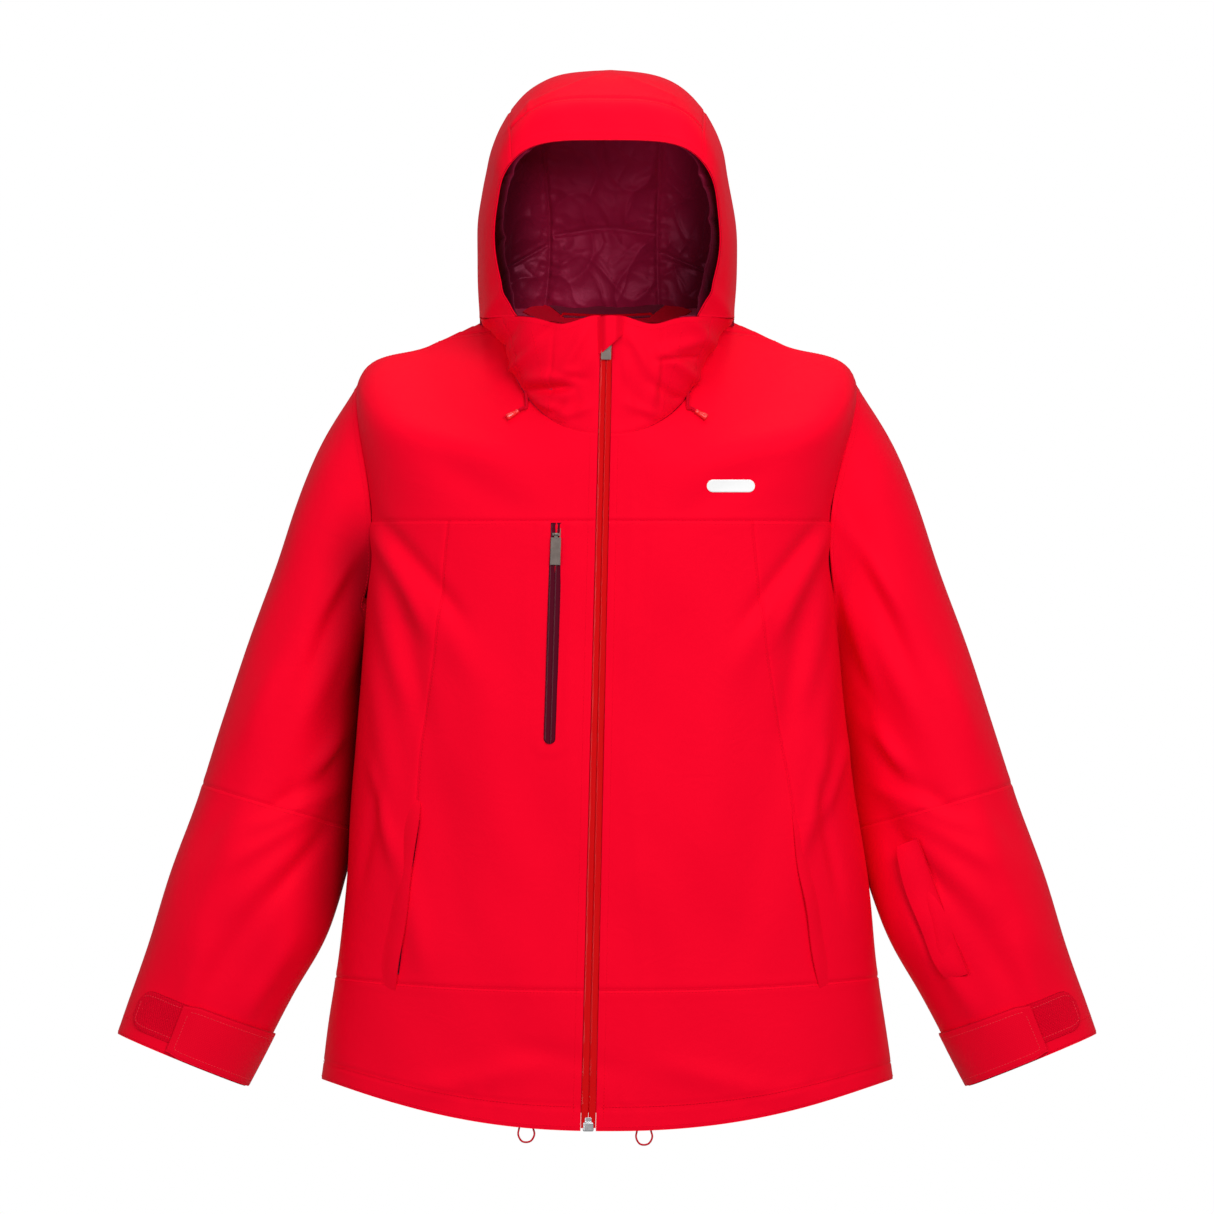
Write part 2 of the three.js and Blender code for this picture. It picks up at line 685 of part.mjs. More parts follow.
// Chest zip on the wearer's right.
const CHEST_ZIP = { topX: -48, bottomX: -54.5, top: YOKE_Z - 2 };
const chestAngle = angleAtX(torso, 4, CHEST_ZIP.topX, -1);
const chestPlane = torsoPoint(-chestAngle, 4).y;
const chestFrame = zipFrame(
  vector(CHEST_ZIP.topX, chestPlane, CHEST_ZIP.top),
  vector(CHEST_ZIP.bottomX, chestPlane, CHEST_ZIP.top - CHEST_ZIP_LENGTH),
  vector(0, -1, 0),
);
addMesh('chest_zip', placed(pocketChain(CHEST_ZIP_LENGTH, CHEST_ZIP_HALF), chestFrame), ZIP_DARK);
const CHEST_DROP = 11;
addMesh('chest_slider', placed(sliderGeometry(CHEST_DROP, true), chestFrame), METAL);
addMesh('chest_puller', placed(pullerGeometry(CHEST_DROP, PULLER_LENGTH), chestFrame), METAL);
cuts.front_panel.right = [placed(zipWindow(CHEST_ZIP_LENGTH, CHEST_ZIP_HALF), chestFrame)];
cuts.front_yoke.right = cuts.front_panel.right;
cuts.front_panel.left = [];

// Hand pockets on the princess seams.
function rowAtZ(z) {
  let low = ROW.yoke;
  let high = ROW.hem;
  for (let i = 0; i < 40; i += 1) {
    const middle = (low + high) / 2;
    if (along(TORSO.frontZ, middle) > z) low = middle;
    else high = middle;
  }
  return low;
}

const HIDDEN_DROP = 14;
const SLEEVE_FLAP_SEAT = 0.3;
const HAND_FLAP_SEAT = -0.8;

function hiddenZip(name, frame, length, side, seatLift) {
  addMesh(`${name}_zip`, placed(pocketChain(length, HAND_ZIP_HALF), frame), ZIP_DARK);
  addMesh(`${name}_slider`, placed(sliderGeometry(HIDDEN_DROP, false), frame), METAL);
  const flap = flapGeometry(length, HAND_ZIP_HALF, side, seatLift);
  addMesh(`${name}_flap`, placed(flap, frame), SHELL_RED);
  return placed(zipWindow(length, HAND_ZIP_HALF), frame);
}

for (const [side, sign] of SIDES) {
  const place = (z) => {
    const v = rowAtZ(z);
    const theta = sign * princessEdge(sign)(v);
    return [torsoPoint(theta, v), torso.normal(theta, v)];
  };
  const [top, topOut] = place(HAND_ZIP_TOP);
  const [bottom, bottomOut] = place(HAND_ZIP_TOP - HAND_ZIP_LENGTH);
  const frame = zipFrame(top, bottom, topOut.add(bottomOut).normalize());
  const window = hiddenZip(`hand_pocket_${side}`, frame, top.distanceTo(bottom), sign, HAND_FLAP_SEAT);
  cuts.front_panel[side].push(window);
  cuts.side_panel[side] = [window];
}

// Hood cords: they leave the collar channel at its lower front corners and lie on the yoke.
const CORD_DEPTH = (SHELL + LINING_DEPTH) / 2;
const TIP = { length: 15, thin: 2.6, wide: 3.9 };

function cordRoute(sign) {
  const lift = HOOD_CORD / 2 + SEAT_GAP;
  const theta = (degrees) => sign * degrees * DEG;
  return [
    collar.lifted(theta(62), 0.34, -CORD_DEPTH),
    collar.lifted(theta(56), 0.22, -CORD_DEPTH),
    collar.lifted(theta(50), 0.1, -CORD_DEPTH + 1),
    torso.lifted(theta(49.5), 0.06, 0.4),
    torso.lifted(theta(51), 0.13, lift),
    torso.lifted(theta(52), 0.19, lift),
  ];
}

function cordGeometry(points, diameter, steps) {
  const section = new THREE.Shape();
  section.absarc(0, 0, diameter / 2, 0, 2 * Math.PI);
  const extrudePath = new THREE.CatmullRomCurve3(points, false, 'centripetal');
  return turnedOut(new THREE.ExtrudeGeometry(section, { steps, extrudePath, curveSegments: 4 }));
}

for (const [side, sign] of SIDES) {
  const route = cordRoute(sign);
  addMesh(`hood_cord_${side}`, cordGeometry(route, HOOD_CORD, 12), CORD_RED);
  const end = route[route.length - 1];
  const away = end.clone().sub(route[route.length - 2]).normalize();
  const rise = torso.normal(sign * 53 * DEG, 0.3).multiplyScalar(TIP.wide - HOOD_CORD / 2 + 0.3);
  const from = end.clone().addScaledVector(away, 0.3).add(rise);
  const to = from.clone().addScaledVector(away, TIP.length);
  const tip = new THREE.CylinderGeometry(TIP.wide, TIP.thin, TIP.length, 12);
  tip.applyQuaternion(new THREE.Quaternion().setFromUnitVectors(vector(0, 1, 0), away));
  tip.translate(...from.add(to).multiplyScalar(0.5).toArray());
  addMesh(`hood_cord_end_${side}`, tip, TIP_RED);
  cuts.collar[side] = [cordGeometry(route, HOOD_CORD + 2 * SEAT_GAP, 12)];
  cuts.front_yoke[side] = [...(cuts.front_yoke[side] ?? []), ...cuts.collar[side]];
}

// Torso panels.
for (const [side, sign] of SIDES) {
  const edge = zipEdge(torso, sign);
  const seam = princessEdge(sign);
  const yoke = sidePanel(torso, sign, YOKE_ROWS, 9, edge, frontEdge);
  addMesh(`front_yoke_${side}`, cut(yoke, cuts.front_yoke[side]), SHELL_RED);
  const front = sidePanel(torso, sign, BODY_ROWS, 7, edge, seam);
  addMesh(`front_panel_${side}`, cut(front, cuts.front_panel[side]), SHELL_RED);
  const flank = sidePanel(torso, sign, BODY_ROWS, 4, seam, frontEdge);
  addMesh(`side_panel_${side}`, cut(flank, cuts.side_panel[side]), SHELL_RED);
  addMesh(`front_hem_panel_${side}`, sidePanel(torso, sign, HEM_ROWS, 11, edge, frontEdge), SHELL_RED);
  const inner = sidePanel(torso, sign, LINING_ROWS, 8, zipEdge(torso, sign, 4), frontEdge, INNER_LAYER);
  addMesh(`lining_front_${side}`, inner, LINING_RED);
}
addMesh('back_yoke', backPanel(torso, YOKE_ROWS, 14, backEdge), SHELL_RED);
addMesh('back_panel', backPanel(torso, BODY_ROWS, 12, backEdge), SHELL_RED);
addMesh('back_hem_panel', backPanel(torso, HEM_ROWS, 14, backEdge), SHELL_RED);
addMesh('lining_back', backPanel(torso, LINING_ROWS, 12, backEdge, INNER_LAYER), LINING_RED);

// Collar and hood.
const COLLAR_ROWS = [0, 0.5, 1];
for (const [side, sign] of SIDES) {
  const panel = sidePanel(
    collar, sign, COLLAR_ROWS, 7, zipEdge(collar, sign), () => HOOD_RING.start, { normal: collarNormal },
  );
  addMesh(`collar_${side}`, cut(panel, cuts.collar[side]), SHELL_RED);
  const cheek = slabOn(hood, {
    rows: HOOD_ROWS,
    columns: 6,
    start: () => (sign > 0 ? 0 : Math.PI - CROWN_SEAM),
    end: () => (sign > 0 ? CROWN_SEAM : Math.PI),
    normal: hoodNormal,
  });
  addMesh(`hood_side_${side}`, cheek, SHELL_RED);
}
const channels = [...cuts.collar.left, ...cuts.collar.right];
const RING_COLUMNS = 18;
const RING_STEP = (2 * (Math.PI - HOOD_RING.start)) / RING_COLUMNS;
const FACING_STEPS = 3;
const base = backPanel(collar, COLLAR_ROWS, RING_COLUMNS, () => HOOD_RING.start, {
  normal: collarNormal,
  trim: [SEAM_GAP / 2, SEAM_GAP / 2, 1.2, SEAM_GAP / 2],
});
// The hood's foot is cut back where it would touch the yokes under it.
const over = { top: SEAT_GAP, trim: [0, 0, 0, 0] };
const yokesBelow = [
  sidePanel(torso, 1, YOKE_ROWS, 7, () => HOOD_RING.start, frontEdge, over),
  sidePanel(torso, -1, YOKE_ROWS, 7, () => HOOD_RING.start, frontEdge, over),
  backPanel(torso, YOKE_ROWS, 14, backEdge, over),
];
addMesh('hood_base', cut(base, [...channels, ...yokesBelow]), SHELL_RED);
const crownEnds = { start: () => CROWN_SEAM, end: () => Math.PI - CROWN_SEAM, normal: hoodNormal };
addMesh('hood_brim', slabOn(hood, { rows: [0, 1], columns: 10, ...crownEnds }), SHELL_RED);
addMesh('hood_crown', slabOn(hood, { rows: HOOD_ROWS.slice(1), columns: 10, ...crownEnds }), SHELL_RED);
addMesh('hood_lining', slabOn(hood, {
  rows: [0.15, 1, 2, 3, 4, 5, 6],
  columns: 12,
  start: () => 4 * DEG,
  end: () => Math.PI - 4 * DEG,
  ...innerLayer(SHELL + HOOD_LINING_GAP),
}), LINING_RED);
const facingStart = HOOD_RING.start - FACING_STEPS * RING_STEP;
const facingColumns = RING_COLUMNS + 2 * FACING_STEPS;
const facingRows = [0.08, 0.5, 0.92];
const facing = backPanel(collar, facingRows, facingColumns, () => facingStart, INNER_LAYER);
addMesh('collar_facing', facing, LINING_RED);

// Hanger loop inside the back of the neck.
const hangerDepth = LINING_DEPTH + LINING + 2 * SEAT_GAP;
const hangerHalf = 20 * DEG;
addMesh('hanger_loop', slabOn(collar, {
  rows: [0.3, 0.46],
  columns: 8,
  start: () => Math.PI - hangerHalf,
  end: () => Math.PI + hangerHalf,
  top: (share) => -hangerDepth - 2.5 * Math.sin(Math.PI * share),
  bottom: (share) => -hangerDepth - HANGER.thickness - 2.5 * Math.sin(Math.PI * share),
}), TAB_RED);

// Sleeves with cuffs.
const CUFF_TAB = { from: 74 * DEG, to: 152 * DEG, top: 6.42, bottom: 6.86, columns: 8 };
const CUFF_PATCH = { from: 34 * DEG, to: 112 * DEG, top: 6.46, bottom: 6.84, columns: 8 };

function cuffPiece(surface, spec, bottom, thickness) {
  const shape = { start: () => spec.from, end: () => spec.to, top: bottom + thickness, bottom };
  return slabOn(surface, { rows: [spec.top, spec.bottom], columns: spec.columns, ...shape });
}

// Angle and row at which the front of a surface has a given x and z.
function locate(surface, x, z, guess) {
  let [u, v] = guess;
  for (let i = 0; i < 30; i += 1) {
    const point = surface.point(u, v);
    const [du, dv] = surface.slopes(u, v);
    const area = du.x * dv.z - dv.x * du.z;
    const gapX = x - point.x;
    const gapZ = z - point.z;
    u += (0.7 * (gapX * dv.z - gapZ * dv.x)) / area;
    v += (0.7 * (du.x * gapZ - du.z * gapX)) / area;
  }
  return [u, v];
}

const FOREARM_ZIP = { top: [55, -520], bottom: [99, -636], proud: 1.2 };

for (const [side, sign] of SIDES) {
  const surface = sleeveSurface(sign);
  const windows = [];
  if (sign > 0) {
    const place = ([x, z]) => locate(surface, CHEST_HALF + x, z, [2.2, 5]);
    const ends = [place(FOREARM_ZIP.top), place(FOREARM_ZIP.bottom)];
    const [top, bottom] = ends.map((end) => surface.point(...end));
    const out = surface.normal(...ends[0]).add(surface.normal(...ends[1])).normalize();
    top.addScaledVector(out, FOREARM_ZIP.proud);
    bottom.addScaledVector(out, FOREARM_ZIP.proud);
    const frame = zipFrame(top, bottom, out);
    windows.push(hiddenZip('sleeve_pocket', frame, top.distanceTo(bottom), sign, SLEEVE_FLAP_SEAT));
  }
  const columns = SLEEVE_COLUMNS;
  const upper = slabOn(surface, {
    rows: UPPER_ROWS,
    columns,
    ...fullTurn,
    trim: [0, 0, 0, SEAM_GAP / 2],
    normal: sleeveNormal(surface, sign),
  });
  addMesh(`upper_sleeve_${side}`, upper, SHELL_RED);
  const forearm = slabOn(surface, { rows: FOREARM_ROWS, columns, ...fullTurn });
  addMesh(`forearm_${side}`, cut(forearm, windows), SHELL_RED);
  const inner = { rows: [0.4, 1, 2.5, 4, 5.4, 6.9], columns: 12, ...fullTurn };
  const sleeveLining = slabOn(surface, { ...inner, ...innerLayer(SHELL + SLEEVE_LINING_GAP) });
  addMesh(`sleeve_lining_${side}`, sleeveLining, LINING_RED);
  addMesh(`cuff_patch_${side}`, cuffPiece(surface, CUFF_PATCH, SEAT_GAP, PATCH_THICKNESS), TAB_RED);
  const tabHeight = 2 * SEAT_GAP + PATCH_THICKNESS;
  addMesh(`cuff_tab_${side}`, cuffPiece(surface, CUFF_TAB, tabHeight, TAB_THICKNESS), TAB_RED);
}

// Hem cord loops: both ends go up into the hem channel.
const HEM_LOOP = [
  [-6, 15], [-6.2, 2], [-7.4, -6], [-4.6, -12], [0, -13.6], [5, -12], [8, -6], [6.4, 2], [6, 15],
];

for (const [side, x] of [['right', -77], ['left', 35]]) {
  const theta = Math.sign(x) * angleAtX(torso, ROW.hem, x, Math.sign(x));
  const edge = torsoPoint(theta, ROW.hem);
  const points = HEM_LOOP.map(([dx, dz]) => vector(x + dx, edge.y + CORD_DEPTH, edge.z + dz));
  addMesh(`hem_cord_${side}`, cordGeometry(points, HEM_CORD, 20), CORD_RED);
}

const origin = collar.lifted(Math.PI, 0.38, -hangerDepth - HANGER.thickness - 2.5);
group.position.set(0, -origin.y, -origin.z);

export default group;
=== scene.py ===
"""Hardshell jacket: the visual model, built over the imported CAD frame.

Every surface is a closed formula evaluated on a grid in millimetres, in the torso's own frame,
and moved into the row frame when its mesh is made. The front faces -Y and +X is the wearer's left.
"""

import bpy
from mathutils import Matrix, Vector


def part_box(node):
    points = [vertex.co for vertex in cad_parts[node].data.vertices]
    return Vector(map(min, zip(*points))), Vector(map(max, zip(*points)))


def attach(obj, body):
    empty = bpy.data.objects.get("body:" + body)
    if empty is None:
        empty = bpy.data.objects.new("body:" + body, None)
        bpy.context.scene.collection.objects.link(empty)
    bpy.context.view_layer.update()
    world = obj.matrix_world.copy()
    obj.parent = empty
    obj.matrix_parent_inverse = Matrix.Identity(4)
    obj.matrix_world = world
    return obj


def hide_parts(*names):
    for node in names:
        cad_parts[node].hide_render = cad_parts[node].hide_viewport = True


bl_info = {
    "name": "Hardshell Jacket",
    "version": (1, 0, 0),
    "blender": (4, 5, 0),
    "location": "View3D > Sidebar > Jacket",
    "description": "Builds a hooded hardshell jacket with a quilted lining over its CAD frame",
    "category": "Object",
}

import math

import bpy
import numpy as np
from bpy.props import FloatProperty, PointerProperty

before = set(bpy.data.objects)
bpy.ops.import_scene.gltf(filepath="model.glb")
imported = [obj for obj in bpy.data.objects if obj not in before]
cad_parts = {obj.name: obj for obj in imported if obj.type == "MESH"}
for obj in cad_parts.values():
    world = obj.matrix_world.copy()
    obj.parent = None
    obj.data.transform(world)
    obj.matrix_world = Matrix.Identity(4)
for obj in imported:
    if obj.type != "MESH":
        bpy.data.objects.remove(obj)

DEG = math.pi / 180
MM = 0.001

# The torso frame's origin in the row frame, in millimetres.
SHIFT = np.array((0.0, -85.318, 2.9485))

SHELL = 2.0
LINING = 1.4
LINING_DEPTH = 6.4
HOOD_LINING_DEPTH = 4.8
SLEEVE_LINING_DEPTH = 6.0


# ---- Settings ----------------------------------------------------------------------------


class ShellSettings(bpy.types.PropertyGroup):
    """Sizes of the outer shell's meshes."""

    step: FloatProperty(
        name="Grid step", default=4.2, unit="NONE",
        description="Distance between the shell's grid lines",
    )
    fold: FloatProperty(
        name="Fold height", default=1.0, subtype="FACTOR",
        description="Share of the full height of the cloth's folds",
    )
    seam: FloatProperty(
        name="Seam depth", default=0.62, unit="NONE",
        description="Depth of the groove along a seam, in millimetres",
    )


class LiningSettings(bpy.types.PropertyGroup):
    """Sizes of the quilted hood lining and the plain linings."""

    step: FloatProperty(
        name="Grid step", default=9.0, unit="NONE",
        description="Distance between the plain linings' grid lines",
    )
    puff: FloatProperty(
        name="Puff height", default=8.0, unit="NONE",
        description="Height of the hood lining's quilting, in millimetres",
    )
    crumple: FloatProperty(
        name="Crumple", default=1.0, unit="NONE",
        description="Height of the wrinkles that the quilting seams gather",
    )


class TrimSettings(bpy.types.PropertyGroup):
    """Sizes of stitches, cords and tabs."""

    stitch: FloatProperty(
        name="Stitch length", default=2.4, unit="NONE",
        description="Length of one stitch, in millimetres",
    )
    pitch: FloatProperty(
        name="Stitch pitch", default=3.2, unit="NONE",
        description="Distance from one stitch to the next, in millimetres",
    )
    thread: FloatProperty(
        name="Thread", default=0.5, unit="NONE",
        description="Thread thickness, in millimetres",
    )


class StageSettings(bpy.types.PropertyGroup):
    """Light, camera and backdrop."""

    lens: FloatProperty(
        name="Lens", default=400.0, subtype="DISTANCE_CAMERA",
        description="Focal length of the camera",
    )
    cover: FloatProperty(
        name="Cover", default=1.153, unit="LENGTH",
        description="Width that the camera covers at the jacket's front",
    )
    key: FloatProperty(
        name="Key light", default=70.0, unit="POWER",
        description="Power of the large key light",
    )


# ---- Curves and surfaces -----------------------------------------------------------------


def cubic(a, b, c, d, s):
    """Catmull-Rom cubic from b (s = 0) to c (s = 1), with a and d as their outer neighbours."""
    return 0.5 * (2 * b + (c - a) * s + (2 * a - 5 * b + 4 * c - d) * s**2 + (3 * b - a - 3 * c + d) * s**3)


def along(values, t):
    """Smooth curve through values spaced one apart, with straight ends."""
    values = np.asarray(values, float)
    padded = np.concatenate([[2 * values[0] - values[1]], values, [2 * values[-1] - values[-2]]])
    t = np.asarray(t, float)
    low = np.clip(np.floor(t).astype(int), 0, len(values) - 2)
    return cubic(*(padded[low + k] for k in range(4)), t - low)


def signed_power(value, exponent):
    """The value's size raised to the exponent, with the value's sign."""
    return np.sign(value) * np.abs(value) ** exponent


def lerp(a, b, share):
    return a + (b - a) * share


def smooth(edge0, edge1, x):
    """Smooth step from 0 at edge0 to 1 at edge1: three times the square less twice the cube."""
    s = np.clip((x - edge0) / (edge1 - edge0), 0, 1)
    return s * s * (3 - 2 * s)


def bump(x, width):
    """Bell curve of height 1 and the given half width."""
    return np.exp(-((x / width) ** 2))


def unit(v):
    return v / np.maximum(np.linalg.norm(v, axis=-1, keepdims=True), 1e-9)


def stack(x, y, z):
    return np.stack(np.broadcast_arrays(x, y, z), -1).astype(float)


# Torso rings from the neck to the hem: half width, middle, depth behind, heights, roundness and tilt.
TORSO_HALF = [98, 168, 237, 225, 226, 237, 249, 260, 273.5]
TORSO_MIDDLE = [0, 0, 0, -6, -6, -4.5, 0, 0, 0]
TORSO_BACK = [78, 96, 106, 112, 110, 106, 106, 109, 114]
TORSO_SIDE_Z = [-3, -34, -68, -204, -317, -425, -545, -640, -738]
TORSO_FRONT_Z = [-122, -140, -162, -204, -317, -425, -545, -650, -784]
TORSO_BACK_Z = [-22, -38, -62, -204, -317, -425, -545, -650, -775]
TORSO_OUTLINE = [2.2, 2.3, 2.5, 2.7, 2.7, 2.6, 2.5, 2.4, 2.3]
TORSO_TILT = [0.85, 0.95, 1.2, 2, 2, 2, 2, 2.2, 2.35]
FRONT_DEPTH = 118
HOOD_BACK = 114


def torso(theta, v):
    """Superellipse rings from the neck (row 0) to the hem (row 8), at angle theta from the front."""
    power = 2 / along(TORSO_OUTLINE, v)
    sine, cosine = np.sin(theta), np.cos(theta)
    ahead = cosine > 0
    depth = np.where(ahead, FRONT_DEPTH, along(TORSO_BACK, v))
    end = np.where(ahead, along(TORSO_FRONT_Z, v), along(TORSO_BACK_Z, v))
    side = along(TORSO_SIDE_Z, v)
    x = along(TORSO_MIDDLE, v) + along(TORSO_HALF, v) * signed_power(sine, power)
    y = -depth * signed_power(cosine, power)
    return stack(x, y, side + (end - side) * np.abs(cosine) ** along(TORSO_TILT, v))


RING_SIDE_Z = -9
RING_HALF = 122


def hood_ring(theta):
    """Level ring on which the hood stands, dipping a little beside the front zip."""
    cosine = np.cos(theta)
    depth = np.where(cosine > 0, FRONT_DEPTH, HOOD_BACK)
    end = np.where(cosine > 0, -10.0, -2.0)
    x = RING_HALF * signed_power(np.sin(theta), 2 / 3)
    y = -depth * signed_power(cosine, 2 / 3)
    z = RING_SIDE_Z + (end - RING_SIDE_Z) * np.abs(cosine) ** 0.8
    dip = np.where(cosine > 0, 7 * bump(np.abs(x) - 44, 19) - 1.5 * bump(np.abs(x) - 12, 9), 0)
    return stack(x, y, z - dip)


def collar(theta, w):
    """Straight blend from the neck seam (w = 0) to the hood's ring (w = 1)."""
    w = np.asarray(w, float)[..., None]
    return torso(theta, 0.0) * (1 - w) + hood_ring(theta) * w


# Hood arches from the brim to the nape: foot's angle, half width, top, reach ahead and roundness.
HOOD_FOOT = [37, 54, 74, 92, 112, 132, 147, 157]
HOOD_HALF = [112, 119, 124.5, 124.5, 120, 108, 86, 66]
HOOD_TOP = [156.5, 197, 222, 223, 200, 140, 60, -2]
HOOD_FORWARD = [150, 137, 85, 15, -55, -98, -112, -HOOD_BACK]
HOOD_POWER = [4.2, 3.4, 3, 3, 2.8, 2.6, 2.4, 2.2]


def hood_arch(psi, w):
    """Arch of row w: foot on the ring, superellipse over the head, apex at its own height."""
    foot = hood_ring(along(HOOD_FOOT, w) * DEG)
    power = 2 / along(HOOD_POWER, w)
    rise = signed_power(np.sin(psi), power)
    reach = signed_power(np.cos(psi), power)
    half = along(HOOD_HALF, w)
    narrowing = 1 - (1 - foot[..., 0] / half) * np.maximum(0, 1 - rise) ** 4
    y = lerp(foot[..., 1], -along(HOOD_FORWARD, w), np.abs(rise) ** 1.2)
    return stack(half * reach * narrowing, y, lerp(foot[..., 2], along(HOOD_TOP, w), rise))


def hood(psi, w):
    """Hood surface: the arches, with the last ones eased onto the ring behind the neck."""
    psi, w = np.broadcast_arrays(np.asarray(psi, float), np.asarray(w, float))
    close = np.maximum(0, w - 6)[..., None]
    last = HOOD_FOOT[7] * DEG
    gap = hood_ring(lerp(last, 2 * math.pi - last, psi / math.pi)) - hood_arch(psi, 7.0)
    return hood_arch(psi, w) + gap * close**2


ARM_MIDDLE, ARM_HALF, ARM_POWER = 100 * DEG, 25 * DEG, 2.4
ARM_CENTRE, ARM_RISE = 2.93, 0.93

# Rings 1 to 7 of the sleeve: outer and inner end (x past the armhole, z), half depth and middle's y.
SLEEVE_RINGS = [
    [[52, -138], [15, -352], 64, 14],
    [[92, -245], [18, -400], 66, 12],
    [[126, -345], [21.5, -448], 68, 10],
    [[162, -455], [26.5, -499], 68, 6],
    [[189, -532], [37, -590], 64, 2],
    [[214, -608], [71, -657], 58, -2],
    [[243, -694.5], [120, -745], 46, -5],
]
SLEEVE_ROOT = 226

# How far the sleeve's inner line moves towards the torso, whose sides differ a little, and behind its side.
SLEEVE_BEHIND = 42
SLEEVE_NEAR = {1: [-27, -23, -19, -17, 1, 3, 0], -1: [-13, -12, -12, -13, 1, 3, 0]}


def sleeve(sign):
    """Sleeve of one side: ring 0 is the armhole's oval on the torso, ring 7 the cuff's edge."""

    def point(psi, t):
        psi, t = np.broadcast_arrays(np.asarray(psi, float), np.asarray(t, float))
        swing = ARM_HALF * signed_power(np.sin(psi), 2 / ARM_POWER)
        rise = ARM_RISE * signed_power(np.cos(psi), 2 / ARM_POWER)
        start = torso(sign * (ARM_MIDDLE - swing), ARM_CENTRE - rise)
        share = (1 + np.cos(psi)) / 2
        rings = [start]
        for (outer, inner, depth, middle), near in zip(SLEEVE_RINGS, SLEEVE_NEAR[sign]):
            x = sign * (SLEEVE_ROOT + lerp(inner[0] + near, outer[0], share))
            behind = SLEEVE_BEHIND * smooth(0, -10, near) * ((1 - np.cos(psi)) / 2) ** 2
            rings.append(stack(x, middle - depth * np.sin(psi) + behind, lerp(inner[1], outer[1], share)))
        rings = np.stack([2 * rings[0] - rings[1], *rings, 2 * rings[-1] - rings[-2]])
        low = np.clip(np.floor(t).astype(int), 0, len(SLEEVE_RINGS) - 1)
        near_rings = (np.take_along_axis(rings, (low + k)[None, ..., None], 0)[0] for k in range(4))
        return cubic(*near_rings, (t - low)[..., None])

    return point


def normal(surface, u, v, outside):
    """Unit normal by small differences, pointing away from the point outside(P) gives."""
    e = 2e-3
    p = surface(u, v)
    n = unit(np.cross(surface(u + e, v) - surface(u - e, v), surface(u, v + e) - surface(u, v - e)))
    flip = np.sign(np.sum(n * (p - outside(p)), -1, keepdims=True))
    return n * np.where(flip == 0, 1, flip)


def face_normal(surface, u, v, outside):
    """Unit normal taken a little inside the hood's two feet, where its arches end."""
    low, high = (0.02, math.pi - 0.02) if surface is hood else (-np.inf, np.inf)
    return normal(surface, np.clip(u, low, high), v, outside)


def body_axis(p):
    """Nearest point on the torso's upright axis."""
    return p * (0.0, 0.0, 1.0)


def head_centre(p):
    return np.zeros_like(p) + (0.0, 0.0, 60.0)


def arm_axis(sign):
    """Point of the arm's middle line at the same height along it as p."""
    tops = np.array([(sign * 232, 14, -200), (sign * 318, 6, -478), (sign * 407, -5, -720)], float)

    def nearest(p):
        flat = p.reshape(-1, 3)
        best = None
        for a, b in zip(tops[:-1], tops[1:]):
            share = np.clip(((flat - a) @ (b - a)) / ((b - a) @ (b - a)), 0, 1)[:, None]
            q = a + share * (b - a)
            gap = np.linalg.norm(flat - q, axis=1, keepdims=True)
            if best is None:
                best, least = q, gap
            else:
                best, least = np.where(gap < least, q, best), np.minimum(gap, least)
        return best.reshape(p.shape)

    return nearest


# ---- Edges of the panels -----------------------------------------------------------------


def zip_share(z):
    return (-12 - z) / 772


def zip_x(z):
    """The front zip leans from the neck's middle to 18 mm on the wearer's right at the hem."""
    return -18 * zip_share(z)


def zip_half(z):
    return lerp(5.5, 7.0, zip_share(z))


def angle_at_x(surface, v, x, sign):
    """Angle on row v at which the front of a surface reaches x, by halving."""
    low = np.full(np.shape(v), -0.6)
    high = np.full(np.shape(v), math.pi / 2)
    for _ in range(40):
        middle = (low + high) / 2
        under = sign * surface(sign * middle, v)[..., 0] < sign * x
        low = np.where(under, middle, low)
        high = np.where(under, high, middle)
    return (low + high) / 2


def at_front(surface, x, z, sign, low, high):
    """Angle and row of a surface's front point with a given x and z, the row found by halving."""
    low, high = np.full_like(x, low), np.full_like(x, high)
    for _ in range(34):
        v = (low + high) / 2
        u = sign * angle_at_x(surface, v, x, sign)
        above = surface(u, v)[..., 2] > z
        low, high = np.where(above, v, low), np.where(above, high, v)
    return u, v


def zip_edge(surface, sign, reveal=0.3):
    """Front edge of one side, beside the zip's laminate, as an angle for each row."""

    def edge(v):
        z = surface(np.zeros_like(v), v)[..., 2]
        return sign * angle_at_x(surface, v, zip_x(z) + sign * (zip_half(z) + reveal), sign)

    return edge


def side_edge(sign, step):
    """Shoulder seam, armhole and side seam as one angle for each row."""

    def edge(v):
        share = np.clip(np.abs(v - ARM_CENTRE) / ARM_RISE, 0, 1)
        reach = ARM_HALF * (1 - share**ARM_POWER) ** (1 / ARM_POWER)
        shoulder = lerp(84 * DEG, ARM_MIDDLE, v / 2)
        return sign * np.where(v <= 2, shoulder, ARM_MIDDLE + step * reach)

    return edge


BACK_EDGES = side_edge(1, 1), lambda v: 2 * math.pi - side_edge(1, 1)(v)


def princess(sign):
    """Seam from the yoke down the front to the hand pocket, as an angle for each row."""

    def edge(v):
        x = along(TORSO_MIDDLE, v) + sign * along([145, 157, 174, 187, 204], v - 3)
        return sign * angle_at_x(torso, v, x, sign)

    return edge


def fixed(angle):
    return lambda v: np.full(np.shape(v), float(angle))


def at_row(edge, row):
    """Angle of a panel's edge on one row."""
    return edge(np.full(1, row))[0]


# ---- Cloth shape -------------------------------------------------------------------------

